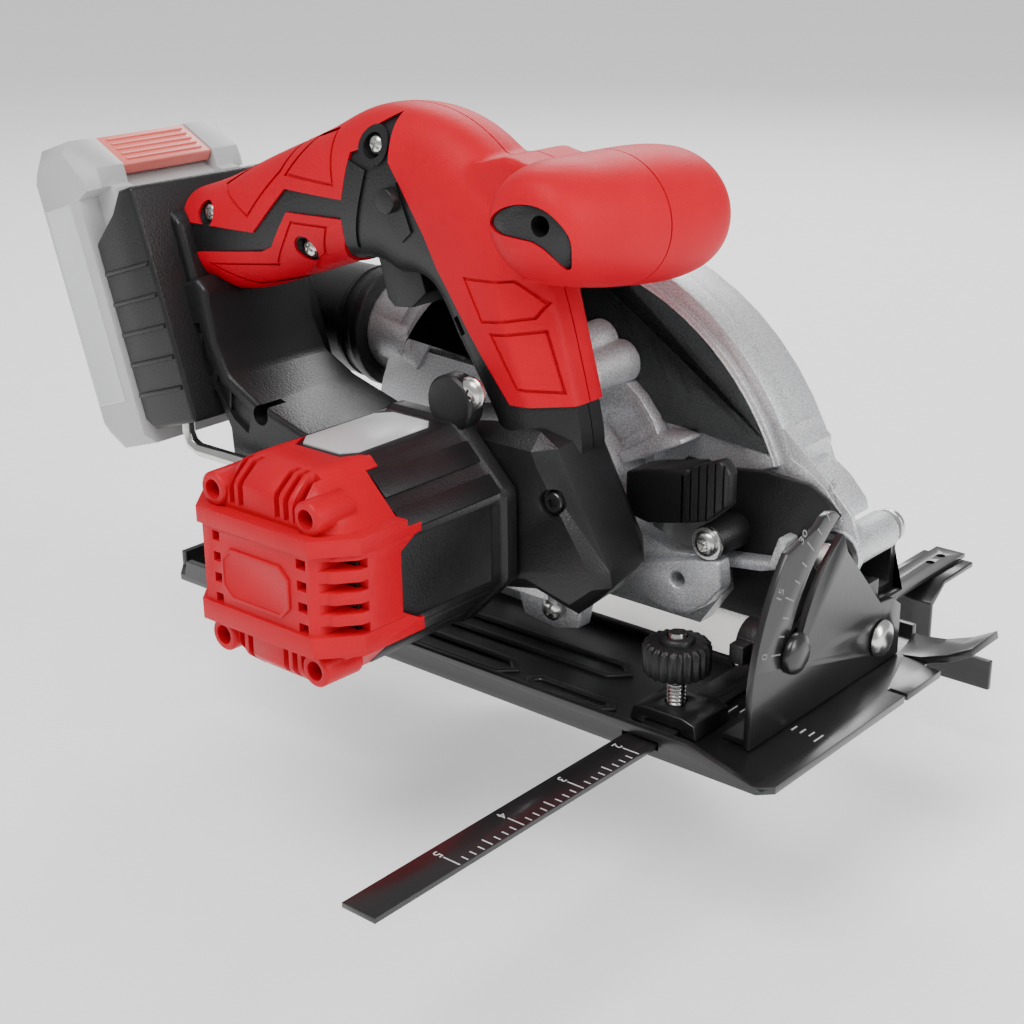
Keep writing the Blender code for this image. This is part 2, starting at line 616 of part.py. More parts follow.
def build_screw(name, centre, head_y, length, finish="zinc_steel"):
    """A pan-head screw along Y whose head faces -Y."""
    profile = [(head_y - 2.4, 2.4), (head_y - 1.6, 3.9), (head_y, 4.2), (head_y + 0.01, 2.1), (head_y + length, 2.1)]
    return turned(name, "Y", centre, profile, finish, steps=16)


# Handle

def handle_ring(x, z, slope, half_width, half_height, inset):
    """A rounded section across the handle's centreline, which climbs at this slope in degrees."""
    t = radians(slope)
    across = Vector((-sin(t), 0, cos(t)))
    points = []
    for i in range(16):
        a = 2 * pi * i / 16 + pi / 16
        y = (abs(cos(a)) ** 0.8) * (1 if cos(a) > 0 else -1) * (half_width - inset)
        r = (abs(sin(a)) ** 0.8) * (1 if sin(a) > 0 else -1) * (half_height - inset)
        points.append(Vector((x, HANDLE_Y + y, z)) + across * r)
    return points


HANDLE_LINE = (
    # centreline x and z, slope, half width, half height
    (-133, 119, 17, 17.5, 17.5),
    (-112, 123, 18, 18, 20),
    (-85, 133, 18, 18.5, 21),
    (-60, 142, 14, 19, 22),
    (-40, 147, 2, 19, 26),
    (-20, 144, -28, 19, 28),
    (0, 132, -56, 19, 22),
    (12, 112, -65, 19, 17),
    (24.5, 83, -90, 18.5, 14),
)


def handle_solid(name, inset, finish=None, reach=0.0):
    """The handle's shape made smaller all round by inset, with its two ends moved out by reach."""
    stations = [list(station) for station in HANDLE_LINE]
    for station, neighbour in ((stations[0], stations[1]), (stations[-1], stations[-2])):
        run_x, run_z = station[0] - neighbour[0], station[1] - neighbour[1]
        length = sqrt(run_x * run_x + run_z * run_z)
        station[0] += reach * run_x / length
        station[1] += reach * run_z / length
    rings = [handle_ring(x, z, slope, w, h, inset) for x, z, slope, w, h in stations]
    return lofted(name, rings, finish)


def half_space(name, side):
    """Everything on one side of the parting plane: -1 is the right shell, 1 the left."""
    near = HANDLE_Y + side * GAP / 2
    far = HANDLE_Y + side * 90
    return box(name, (-260, 160), (min(near, far), max(near, far)), (0, 260))


def socket_seat(name):
    """The room behind the handle that the battery's socket takes up."""
    outline = [(-150, 60), (-85.9, 60), (-85.9, 190), (-150, 190)]
    return battery_prism(name, outline, HANDLE_Y - 50, HANDLE_Y + 50)


COLUMN_OUTLINE = (
    (-134, 103), (-118, 109.5), (-113, 106), (-110, 88), (-104, 77), (-90, 70), (-62, 62), (-44, 60),
    (-44, 47), (-80, 46), (-104, 44), (-105, 58), (-112.5, 72),
)


def build_handle_shells():
    made = []
    for side, word in ((-1, "right"), (1, "left")):
        shell = handle_solid(f"handle_shell_{word}", SKIN + GAP, "black_plastic")
        column = prism(f"column_{word}", COLUMN_OUTLINE, "Y", HANDLE_Y - 24, HANDLE_Y + 24)
        joined(shell, column)
        inner = handle_solid(f"handle_space_{word}", 6.0, reach=-4)
        switch_room = box(f"switch_room_{word}", (-60, -20), (HANDLE_Y - 9, HANDLE_Y + 9), (110, 150))
        button_way = disc(f"button_way_{word}", "Y", (-27, 146), 4.4, HANDLE_Y - 40, HANDLE_Y + 40, steps=16)
        column_room = prism(
            f"column_room_{word}", [(-120, 108), (-117, 100), (-114, 86), (-106, 72), (-92, 64), (-60, 56),
                                    (-60, 52), (-98, 50), (-106, 62), (-120, 90)],
            "Y", HANDLE_Y - 18, HANDLE_Y + 18,
        )
        cut(shell, inner, switch_room, column_room, button_way, socket_seat(f"shell_seat_{word}"))
        kept_within(shell, half_space(f"half_{word}", side))
        made.append(shell)
    return made


def build_overmoulds():
    """The soft red skin over the grip, the neck and the front of the leg, one piece on each shell."""
    made = []
    for side, word in ((-1, "right"), (1, "left")):
        skin = handle_solid(f"grip_overmould_{word}", 0, "red_grip")
        core = handle_solid(f"core_{word}", SKIN, reach=5)
        low, high = sorted((HANDLE_Y + side * 60, HANDLE_Y + side * 8))
        switch_panel = prism(
            f"switch_panel_{word}",
            [(-32, 168), (-46, 160), (-50, 134), (-48, 100), (0, 76), (16, 76), (18, 92), (-6, 136)],
            "Y", low, high,
        )
        under_panel = prism(
            f"under_panel_{word}", [(-62, 128), (-62, 60), (15, 60), (15, 92), (0, 112), (-8, 128)],
            "Y", HANDLE_Y - 60, HANDLE_Y + 60,
        )
        socket_room = socket_seat(f"socket_room_{word}")
        column_room = prism(f"skin_column_room_{word}", [(-150, 98), (-134, 103.5), (-117.5, 110.2), (-112, 106.8), (-109, 88),
                                                        (-103, 60), (-150, 60)],
                            "Y", HANDLE_Y - 50, HANDLE_Y + 50)
        rooms = (core, switch_panel, under_panel, socket_room, column_room)
        boolean(skin, "DIFFERENCE", rooms, solver="MANIFOLD")
        boolean(skin, "INTERSECT", [half_space(f"skin_half_{word}", side)], solver="MANIFOLD")
        made.append(skin)
    return made


KNOB_LINE = (
    # y, centre x, centre z, half length in x, half height
    (-60, 42, 149, 9, 8),
    (-57, 42, 149, 14, 13),
    (-48, 42, 148, 18, 17),
    (-36, 43, 147, 20.5, 19),
    (-22, 44, 146, 22, 20),
    (-6, 45, 145, 22.5, 20.5),
    (6, 46, 144.5, 20.5, 19),
    (14, 46, 144, 15, 14),
    (18, 46, 144, 7, 7),
)


def knob_solid(name, finish=None):
    rings = [
        [Vector((x + a * cos(2 * pi * i / 20), y, z + b * sin(2 * pi * i / 20))) for i in range(20)]
        for y, x, z, a, b in KNOB_LINE
    ]
    return lofted(name, rings, finish)


def build_front_knob():
    """The egg-shaped front grip, split on the same plane as the handle."""
    made = []
    neck_outline = [(-12, 150), (6, 163), (22, 158), (34, 150), (34, 134), (22, 130), (8, 136)]
    for side, word in ((-1, "right"), (1, "left")):
        knob = knob_solid(f"front_knob_{word}", "red_grip")
        neck = prism(f"neck_{word}", neck_outline, "Y", HANDLE_Y - 15, HANDLE_Y + 15)
        joined(knob, neck)
        cut(knob, handle_solid(f"neck_seat_{word}", -GAP, reach=3))
        kept_within(knob, half_space(f"knob_half_{word}", side))
        made.append(knob)
    pocket = disc("inlay_pocket", "Y", (44, 149), 8.5, -70, -58.2, steps=20)
    cut(made[0], pocket)
    inlay = disc("knob_end_inlay", "Y", (44, 149), 8.1, -60.6, -58.5, "black_plastic", steps=20)
    return [*made, inlay]


def build_trigger():
    outline = [(-46, 127), (-44, 122), (-41, 111), (-38, 108.5), (-30, 109.5), (-24, 115), (-28, 127)]
    trigger = prism("trigger", outline, "Y", HANDLE_Y - 7.5, HANDLE_Y + 7.5, "black_plastic")
    return trigger


def build_switch():
    return box("trigger_switch", (-50, -33), (HANDLE_Y - 8, HANDLE_Y + 8), (131.5, 143), "black_plastic")


def build_lock_off():
    """The lock-off button, which runs across the handle above the trigger."""
    return disc("lock_off_button", "Y", (-27, 146), 4.0, HANDLE_Y - 22, HANDLE_Y + 22, "black_plastic", steps=16)


# Battery

def build_battery_socket():
    half = 35.0
    side = [(-114.5, 96), (-114.5, 160), (-101, 168), (-94, 175), (-86.3, 175), (-86.3, 92), (-110, 92)]
    socket = battery_prism("battery_socket", side, HANDLE_Y - half, HANDLE_Y + half, "black_plastic")
    channel = battery_prism(
        "socket_channel", [(-125, 97), (-103, 97), (-103, 190), (-125, 190)], HANDLE_Y - half + 6, HANDLE_Y + half - 6
    )
    recess = battery_prism(
        "terminal_recess", [(-110, 100), (-92, 100), (-92, 126), (-110, 126)], HANDLE_Y - 16, HANDLE_Y + 16
    )
    key_hole = box("key_hole", (KEY_LEG_X - 3.2, KEY_LEG_X + 3.2), (KEY_Y - 3.2, KEY_Y + 3.2), (40, 71))
    return cut(socket, channel, recess, key_hole)


def build_terminal_block():
    return battery_prism(
        "terminal_block", [(-102.7, 102), (-92.4, 102), (-92.4, 124), (-102.7, 124)],
        HANDLE_Y - 14, HANDLE_Y + 14, "black_plastic",
    )


def build_battery():
    """The slide-in pack: a full-width body behind, and a narrower rail block that runs in the socket."""
    low, high = HANDLE_Y - BATTERY_HALF, HANDLE_Y + BATTERY_HALF
    edge = 7.0

    def ring_at(y, inset):
        top, back = BATTERY_TOP - inset, BATTERY_BACK + inset
        outline = [
            (-115 - inset * 0.2, BATTERY_LOW + inset), (back + edge, BATTERY_LOW + inset), (back, BATTERY_LOW + edge + inset),
            (back, top - edge), (back + edge, top), (-118, top), (-106 - inset, top - 12), (-106 - inset, 178),
            (-115 - inset * 0.2, 176),
        ]
        return [battery_point(f, y, u) for f, u in outline]

    rings = [ring_at(low, 4), ring_at(low + 4, 0), ring_at(high - 4, 0), ring_at(high, 4)]
    case = lofted("battery_case", rings, "battery_grey")
    rail = battery_prism(
        "battery_rail", [(-116, 98), (-103.6, 98), (-103.6, 177), (-112, 182), (-116, 182)], HANDLE_Y - 28, HANDLE_Y + 28
    )
    button_seat = battery_prism(
        "latch_seat", [(-122, 202), (-100, 180), (-105.5, 174.5), (-127.5, 196.5)], HANDLE_Y - 20.3, HANDLE_Y + 20.3
    )
    joined(case, rail)
    cut(case, button_seat)
    latch = battery_prism(
        "battery_latch", [(-118.4, 196.9), (-106.1, 184.6), (-109.3, 181.4), (-121.6, 193.7)],
        HANDLE_Y - 20, HANDLE_Y + 20, "latch_red",
    )
    return [case, latch]


# Small pieces

def build_dust_port():
    """The black tube that takes an extraction hose, plugged onto the cast outlet."""
    port = turned(
        "dust_port", "X", (PORT_Y, PORT_Z), [(-144, 20.4), (-142.5, 20.8), (-105, 20.8), (-104, 23), (-99.4, 23)],
        "black_plastic", steps=32,
    )
    return cut(port, turned("port_bore", "X", (PORT_Y, PORT_Z), [(-150, 18.6), (-104.2, 18.2), (-104.19, 17.4), (-90, 17.4)], steps=32))


def build_fence():
    bar = box("fence_bar", (FENCE_REAR, FENCE_FRONT), (FENCE_FREE, FENCE_END), (FENCE_LOW, FENCE_HIGH), "black_steel")
    rivet_holes = [disc(f"fence_hole_{i}", "Z", (84, 116 + 8 * i), 1.6, 0, 10, steps=12) for i in range(2)]
    cut(bar, *rivet_holes)
    top = FENCE_LOW - GAP
    section = [(130, top), (108, top), (99, top - 6), (99, -30), (101.2, -30), (101.2, top - 7.5), (109, top - 2), (130, top - 2)]
    web = prism("fence_plate", section, "X", 74, 94, "black_steel")
    skid = box("fence_skid", (48, 118), (99, 101.2), (-30, -19))
    return [bar, joined(web, skid)]


def build_fence_clamp():
    centre = (CLAMP_X, CLAMP_Y)
    stud = disc("fence_clamp_stud", "Z", centre, 3.0, FENCE_HIGH + GAP, 31, "zinc_steel", steps=20)
    knob_outline = []
    for i in range(48):
        a = 2 * pi * i / 48
        radius = 9.2 + 0.9 * (1 if (i // 3) % 2 else 0)
        knob_outline.append((centre[0] + radius * cos(a), centre[1] + radius * sin(a)))
    knob = prism("fence_clamp_knob", knob_outline, "Z", 20.5, 32.5, "black_plastic")
    collar = disc("knob_collar", "Z", centre, 6, 17, 21)
    return [stud, cut(joined(knob, collar), disc("knob_socket", "Z", centre, 3.3, 10, 31.3, steps=20))]


def build_spindle_lock():
    """The ribbed lever in front of the gearbox that is pushed in to hold the arbor for a blade change."""
    outline = [(36, 60), (44, 62), (71, 70), (76, 68), (75, 56), (57, 47), (46, 45), (36, 47)]
    return prism("spindle_lock_lever", outline, "Y", -3, 14, "black_plastic")


def build_hex_key():
    """The 5 mm blade key, clipped beside the foot of the rear column."""
    line = [
        (-50, KEY_Z, 180), (KEY_LEG_X + 6, KEY_Z, 180), (KEY_LEG_X + 1.8, KEY_Z + 1.8, 135),
        (KEY_LEG_X, KEY_Z + 6, 90), (KEY_LEG_X, KEY_Z + 20, 90),
    ]
    rings = []
    for x, z, lean in line:
        across = Vector((-sin(radians(lean)), 0, cos(radians(lean))))
        corners = [pi / 3 * i for i in range(6)]
        middle = Vector((x, KEY_Y, z))
        rings.append([middle + Vector((0, KEY_SIZE * cos(a), 0)) + across * (KEY_SIZE * sin(a)) for a in corners])
    return lofted("hex_key", rings, "zinc_steel")


def clear_scene():
    for existing in list(bpy.data.objects):
        bpy.data.objects.remove(existing)


def build_all():
    build_shoe()
    build_bevel_quadrant()
    rivet("front_pivot_rivet", BEVEL_X - 3.4 - GAP, BEVEL_X + 2.3 + GAP, 6.4)
    build_rear_bevel_bracket()
    rivet("rear_pivot_rivet", -104.5 - GAP, -99.3 + GAP, 6.4)
    build_fence_bridge()
    frame_pieces = [build_front_hinge_bracket(), build_bevel_bolt(), build_depth_arc(), build_depth_pin()]
    bevel_knob = build_bevel_knob()
    guards = [build_upper_guard(), build_depth_bolt()]
    depth_lever = build_depth_lever()
    cutting = [build_lower_guard(), build_blade(), *build_arbor_pieces()]
    rotor = build_rotor()
    casings = [
        build_gear_housing(), build_gearbox_cover(), build_motor_housing(), build_motor_end_cap(),
        *build_motor_field(), *build_bearings(),
        build_screw("motor_screw_upper", (7, 89.5), -52.3, 8),
        *build_handle_shells(), *build_overmoulds(), *build_front_knob(),
        build_battery_socket(), build_terminal_block(), build_dust_port(), build_switch(),
    ]
    trigger, lock_off = build_trigger(), build_lock_off()
    battery = build_battery()
    build_fence()
    stud, knob = build_fence_clamp()
    spindle_lock, key = build_spindle_lock(), build_hex_key()

    ride_on_hinge("bevel_axis", (BEVEL_X, BEVEL_Y, BEVEL_Z), frame_pieces)
    ride_on_hinge("depth_axis", (DEPTH_X, BLADE_Y, DEPTH_Z), guards + casings)
    ride_on_hinge("arbor_axis", (ARBOR_X, BLADE_Y, ARBOR_Z), cutting)
    ride_on_hinge("motor_axis", (MOTOR_X, CAP_JOINT_Y, MOTOR_Z), rotor)
    ride_on_hinge("trigger_axis", (-35, HANDLE_Y, 118), [trigger])
    ride_on_hinge("lock_off_axis", (-27, HANDLE_Y, 146), [lock_off])
    ride_on_hinge("battery_axis", battery_point(-110, HANDLE_Y, 140), battery)
    ride_on_hinge("clamp_axis", (CLAMP_X, CLAMP_Y, 20), [stud, knob])
    ride_on_hinge("bevel_knob_axis", (100, *bevel_bolt_point()), [bevel_knob])
    bolt_x, bolt_z = depth_bolt_point()
    ride_on_hinge("depth_lever_axis", (bolt_x, 53, bolt_z), [depth_lever])
    ride_on_hinge("spindle_lock_axis", (36, 5, 55), [spindle_lock])
    ride_on_hinge("hex_key_axis", (KEY_LEG_X, KEY_Y, KEY_Z), [key])


clear_scene()
MATERIALS = {name: make_material(name, *values) for name, values in FINISHES.items()}
build_all()
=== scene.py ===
"""The looks of the cordless circular saw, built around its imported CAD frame.

Lengths below are in millimetres in the CAD's own frame (+X the cutting direction, +Y the blade side, +Z up)
and become metres when a mesh is made. The handle and grip are smooth lofts; most other pieces start from
their CAD node's own surface, which is welded, cut, bevelled and given its fittings.
"""

import json
from math import copysign, cos, pi, radians, sin

import bmesh
import bpy
from mathutils import Matrix, Vector


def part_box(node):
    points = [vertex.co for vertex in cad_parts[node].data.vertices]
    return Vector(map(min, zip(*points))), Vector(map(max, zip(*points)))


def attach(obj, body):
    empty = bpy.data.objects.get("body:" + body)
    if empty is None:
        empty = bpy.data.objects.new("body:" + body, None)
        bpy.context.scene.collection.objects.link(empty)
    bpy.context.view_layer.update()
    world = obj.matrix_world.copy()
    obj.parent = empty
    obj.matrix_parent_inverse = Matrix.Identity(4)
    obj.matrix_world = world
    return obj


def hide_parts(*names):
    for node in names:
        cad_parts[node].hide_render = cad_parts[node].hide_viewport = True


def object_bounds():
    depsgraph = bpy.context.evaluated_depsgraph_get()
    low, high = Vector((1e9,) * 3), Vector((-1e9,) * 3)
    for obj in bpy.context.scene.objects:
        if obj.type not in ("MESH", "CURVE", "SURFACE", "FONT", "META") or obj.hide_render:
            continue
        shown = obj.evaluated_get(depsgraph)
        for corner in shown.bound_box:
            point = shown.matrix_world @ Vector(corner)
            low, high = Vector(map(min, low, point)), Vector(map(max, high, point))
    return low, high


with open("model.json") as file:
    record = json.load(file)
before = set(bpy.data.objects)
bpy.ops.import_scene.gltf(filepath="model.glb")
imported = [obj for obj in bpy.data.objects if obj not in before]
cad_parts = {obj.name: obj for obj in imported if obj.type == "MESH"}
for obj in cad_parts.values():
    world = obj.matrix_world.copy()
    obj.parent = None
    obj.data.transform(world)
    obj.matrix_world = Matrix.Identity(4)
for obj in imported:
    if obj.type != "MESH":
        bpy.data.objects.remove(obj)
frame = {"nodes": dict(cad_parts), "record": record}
cad_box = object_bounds()

MM = 0.001
PLANE_AXES = {"X": (1, 2, 0), "Y": (0, 2, 1), "Z": (0, 1, 2)}
BODY_OF = {node: body for body, nodes in frame["record"]["behaviour"]["bodies"].items() for node in nodes}
SLOT_OF = {part["node"]: part["material_slot"] for part in frame["record"]["subparts"]}

# Driving places, read from the frame where a node gives them
MOTOR = ((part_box("motor_can")[0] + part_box("motor_can")[1]) / 2) / MM
ARBOR = ((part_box("saw_blade")[0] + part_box("saw_blade")[1]) / 2) / MM
BAR_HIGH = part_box("fence_bar")[1] / MM
STUD_LOW, STUD_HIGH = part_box("fence_clamp_stud")[0] / MM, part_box("fence_clamp_stud")[1] / MM
PORT_LOW, PORT_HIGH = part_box("dust_port")[0] / MM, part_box("dust_port")[1] / MM
MOTOR_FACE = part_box("motor_end_cap")[0].y / MM
MOTOR_HALF = 32.5  # from the motor's axis to a flat of its housing
MOTOR_CORNER = 0.58  # how much of that each corner's chamfer takes
HANDLE_Y = -22.0  # the parting plane of the handle and the front grip
HANDLE_SIDES = (-60, 20)  # clear of both sides of the handle
BATTERY_LEAN = radians(17.5)
BATTERY_SIDE = HANDLE_Y - 36  # the pack's side that faces the motor
LATCH_TILT = radians(27.5)


# Materials

def node_material(name, colour, roughness, metallic=0.0, grain=0.0, grain_scale=900.0, mottle=0.0,
                  mottle_scale=60.0, coat=0.0, stretch=(1, 1, 1), specular=0.5):
    """A Principled surface with grain in its normal, and a slow drift in its colour and roughness."""
    material = bpy.data.materials.new(name)
    material.use_nodes = True
    tree = material.node_tree
    shader = tree.nodes["Principled BSDF"]
    shader.inputs["Metallic"].default_value = metallic
    shader.inputs["Coat Weight"].default_value = coat
    shader.inputs["Coat Roughness"].default_value = 0.15
    shader.inputs["Specular IOR Level"].default_value = specular
    place = tree.nodes.new("ShaderNodeTexCoord")
    mapping = tree.nodes.new("ShaderNodeMapping")
    mapping.inputs["Scale"].default_value = stretch
    tree.links.new(place.outputs["Object"], mapping.inputs["Vector"])
    drift = tree.nodes.new("ShaderNodeTexNoise")
    drift.inputs["Scale"].default_value = mottle_scale
    drift.inputs["Detail"].default_value = 4.0
    tree.links.new(mapping.outputs["Vector"], drift.inputs["Vector"])
    ramp = tree.nodes.new("ShaderNodeValToRGB")
    ramp.color_ramp.elements[0].position = 0.35
    ramp.color_ramp.elements[1].position = 0.68
    ramp.color_ramp.elements[0].color = (*[c * (1 - mottle) for c in colour], 1)
    ramp.color_ramp.elements[1].color = (*[min(1, c * (1 + mottle)) for c in colour], 1)
    tree.links.new(drift.outputs["Fac"], ramp.inputs["Fac"])
    tree.links.new(ramp.outputs["Color"], shader.inputs["Base Color"])
    spread = tree.nodes.new("ShaderNodeMapRange")
    spread.inputs["To Min"].default_value = roughness - 0.06
    spread.inputs["To Max"].default_value = roughness + 0.06
    tree.links.new(drift.outputs["Fac"], spread.inputs["Value"])
    tree.links.new(spread.outputs["Result"], shader.inputs["Roughness"])
    fine = tree.nodes.new("ShaderNodeTexNoise")
    fine.inputs["Scale"].default_value = grain_scale
    fine.inputs["Detail"].default_value = 3.0
    tree.links.new(mapping.outputs["Vector"], fine.inputs["Vector"])
    bump = tree.nodes.new("ShaderNodeBump")
    bump.inputs["Strength"].default_value = grain
    bump.inputs["Distance"].default_value = 0.0003
    tree.links.new(fine.outputs["Fac"], bump.inputs["Height"])
    tree.links.new(bump.outputs["Normal"], shader.inputs["Normal"])
    return material


MATERIALS = {
    "black_plastic": node_material("black_plastic", (0.009, 0.009, 0.01), 0.4, grain=0.5, grain_scale=1300,
                                   mottle=0.1, specular=0.4),
    "red_grip": node_material("red_grip", (0.56, 0.0, 0.014), 0.5, grain=0.3, grain_scale=1500, mottle=0.04,
                              specular=0.14),
    "red_plastic": node_material("red_plastic", (0.52, 0.0, 0.012), 0.38, grain=0.25, grain_scale=1400,
                                 mottle=0.04, specular=0.18),
    "cast_aluminium": node_material("cast_aluminium", (0.66, 0.67, 0.69), 0.36, 0.55, grain=0.8,
                                    grain_scale=1900, mottle=0.3, mottle_scale=1800),
    "black_steel": node_material("black_steel", (0.01, 0.01, 0.011), 0.3, grain=0.12, grain_scale=500,
                                 mottle=0.1, coat=0.25),
    "zinc_steel": node_material("zinc_steel", (0.66, 0.66, 0.64), 0.24, 1.0, grain=0.12, grain_scale=700,
                                mottle=0.07),
    "blade_steel": node_material("blade_steel", (0.6, 0.6, 0.6), 0.26, 1.0, grain=0.4, grain_scale=700,
                                 mottle=0.06, stretch=(1, 1, 0.06)),
    "battery_grey": node_material("battery_grey", (0.47, 0.47, 0.47), 0.45, grain=0.3, grain_scale=1200,
                                  mottle=0.03),
    "latch_red": node_material("latch_red", (0.80, 0.19, 0.16), 0.42, grain=0.2, grain_scale=1200,
                               mottle=0.03),
    "copper": node_material("copper", (0.7, 0.3, 0.15), 0.3, 1.0, grain=0.6, grain_scale=400, mottle=0.1,
                            stretch=(1, 0.1, 1)),
    "magnet": node_material("magnet", (0.08, 0.08, 0.085), 0.55, grain=0.4, mottle=0.1),
}
SCALE_GREY = node_material("scale_grey", (0.16, 0.16, 0.16), 0.45, grain=0.1, mottle=0.08)
MARKING = node_material("marking_white", (0.55, 0.55, 0.55), 0.5, grain=0.1, mottle=0.08)
PANEL_SILVER = node_material("panel_silver", (0.62, 0.63, 0.64), 0.35, 0.3, grain=0.05, mottle=0.02)


# Mesh building

def mesh_object(name, builder, scale=MM):
    bmesh.ops.recalc_face_normals(builder, faces=builder.faces)
    bmesh.ops.scale(builder, vec=(scale, scale, scale), verts=builder.verts)
    mesh = bpy.data.meshes.new(name)
    builder.to_mesh(mesh)
    builder.free()
    made = bpy.data.objects.new(name, mesh)
    bpy.context.scene.collection.objects.link(made)
    return made


def lofted(name, rings):
    """A closed solid through rings that each have the same number of points."""
    builder = bmesh.new()
    made = [[builder.verts.new(Vector(p)) for p in ring] for ring in rings]
    count = len(rings[0])
    for low, high in zip(made, made[1:]):
        for i in range(count):
            j = (i + 1) % count
            builder.faces.new((low[i], low[j], high[j], high[i]))
    builder.faces.new(made[0])
    builder.faces.new(made[-1])
    return mesh_object(name, builder)


def placed(axis, first, second, along):
    point = [0.0, 0.0, 0.0]
    a, b, c = PLANE_AXES[axis]
    point[a], point[b], point[c] = first, second, along
    return Vector(point)


def prism(name, outline, axis, low, high):
    return lofted(name, [[placed(axis, p, q, along) for p, q in outline] for along in (low, high)])


def block(name, x, y, z):
    return prism(name, [(x[0], y[0]), (x[1], y[0]), (x[1], y[1]), (x[0], y[1])], "Z", z[0], z[1])


def arc(centre, radius, start, end, steps):
    angles = [radians(start + (end - start) * i / steps) for i in range(steps + 1)]
    return [(centre[0] + radius * cos(a), centre[1] + radius * sin(a)) for a in angles]


def circle(centre, radius, steps=32):
    return arc(centre, radius, 0, 360 - 360 / steps, steps - 1)


def turned(name, axis, centre, profile, steps=40):
    """A solid of revolution from (distance along the axis, radius), end to end."""
    rings = [[placed(axis, p, q, along) for p, q in circle(centre, radius, steps)]
             for along, radius in profile]
    return lofted(name, rings)


def lobed(name, axis, centre, radius, depth, lobes, low, high):
    """A knob with scalloped sides and a rounded top edge."""
    rings = []
    for along, inset in ((low, 0.8), (low + 0.8, 0), (high - 1.2, 0), (high, 1.2)):
        ring = []
        for i in range(lobes * 12):
            a = 2 * pi * i / (lobes * 12)
            r = radius - inset + depth * cos(lobes * a)
            ring.append(placed(axis, centre[0] + r * cos(a), centre[1] + r * sin(a), along))
        rings.append(ring)
    return lofted(name, rings)


def offset(outline, distance):
    """The outline moved outwards by this distance, or inwards if it is negative."""
    area = sum(p[0] * q[1] - q[0] * p[1] for p, q in zip(outline, outline[1:] + outline[:1]))
    turn = 1 if area > 0 else -1
    made = []
    for before, point, after in zip(outline[-1:] + outline[:-1], outline, outline[1:] + outline[:1]):
        first = (Vector(point) - Vector(before)).normalized()
        second = (Vector(after) - Vector(point)).normalized()
        out_first, out_second = Vector((first.y, -first.x)) * turn, Vector((second.y, -second.x)) * turn
        middle = (out_first + out_second).normalized()
        made.append(tuple(Vector(point) + middle * distance / max(0.45, middle.dot(out_first))))
    return made


def rounded(outline, times=2):
    """The outline with its corners cut off and cut off again, towards a smooth curve."""
    for _ in range(times):
        made = []
        for point, after in zip(outline, outline[1:] + outline[:1]):
            made += [tuple(Vector(point).lerp(Vector(after), t)) for t in (0.25, 0.75)]
        outline = made
    return outline


def applied(target):
    """Makes the object's modifiers part of its mesh, and takes them off."""
    graph = bpy.context.evaluated_depsgraph_get()
    mesh = bpy.data.meshes.new_from_object(target.evaluated_get(graph), depsgraph=graph)
    target.modifiers.clear()
    target.data = mesh
    return target


def boolean(target, operation, tools, solver="MANIFOLD"):
    """Applies each tool to the target and removes the tool."""
    for tool in tools:
        modifier = target.modifiers.new(tool.name, "BOOLEAN")
        modifier.operation = operation
        modifier.solver = solver
        modifier.object = tool
    applied(target)
    for tool in tools:
        bpy.data.objects.remove(tool)
    return target


def cut(target, *tools, solver="MANIFOLD"):
    return boolean(target, "DIFFERENCE", tools, solver)


def joined(target, *tools, solver="MANIFOLD"):
    return boolean(target, "UNION", tools, solver)


def within(target, *tools, solver="MANIFOLD"):
    return boolean(target, "INTERSECT", tools, solver)


def from_node(name, *nodes, merged=True):
    """A new mesh that starts as these nodes' own surface, welded, with its flat areas merged if asked."""
    builder = bmesh.new()
    for node in nodes:
        builder.from_mesh(frame["nodes"][node].data)
    bmesh.ops.remove_doubles(builder, verts=builder.verts, dist=2e-6)
    if merged:
        bmesh.ops.dissolve_limit(builder, angle_limit=radians(0.6), verts=builder.verts, edges=builder.edges)
    return mesh_object(name, builder, scale=1.0)


def bevelled(piece, width, segments=2, angle=32):
    modifier = piece.modifiers.new("edges", "BEVEL")
    modifier.width = width * MM
    modifier.segments = segments
    modifier.limit_method = "ANGLE"
    modifier.angle_limit = radians(angle)
    return applied(piece)


def finish(piece, body, slot=None, material=None, replaces=(), sharp=38):
    """Smooth shading, a finish, the body that carries the piece and the nodes that it stands for."""
    piece.data.materials.clear()
    piece.data.materials.append(material or MATERIALS[slot])
    piece.data.shade_smooth()
    piece.data.set_sharp_from_angle(angle=radians(sharp))
    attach(piece, body)
    if replaces:
        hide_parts(*replaces)
    return piece


def screw(name, centre, head_y, body, radius=3.6, washer=0.0):
    """A Phillips pan-head screw along Y whose head faces the motor side."""
    x, z = centre
    profile = [(head_y, radius * 0.55), (head_y + 0.5, radius * 0.85), (head_y + 1.2, radius),
               (head_y + 2.2, radius), (head_y + 2.3, radius * 0.5), (head_y + 6, radius * 0.5)]
    head = turned(name, "Y", centre, profile, steps=28)
    slots = [block("slot_a", (x - 0.45, x + 0.45), (head_y - 1, head_y + 1.3), (z - 2.1, z + 2.1)),
             block("slot_b", (x - 2.1, x + 2.1), (head_y - 1, head_y + 1.3), (z - 0.45, z + 0.45))]
    for tool in slots:
        turn = Matrix.Translation(Vector((x, 0, z)) * MM) @ Matrix.Rotation(radians(24), 4, "Y")
        tool.data.transform(turn @ Matrix.Translation(Vector((-x, 0, -z)) * MM))
    cut(head, *slots, solver="EXACT")
    if washer:
        joined(head, turned("washer", "Y", centre, [(head_y + 2.0, washer - 0.3), (head_y + 2.3, washer),
                                                   (head_y + 3.2, washer)], steps=32), solver="EXACT")
    return finish(head, body, "zinc_steel")


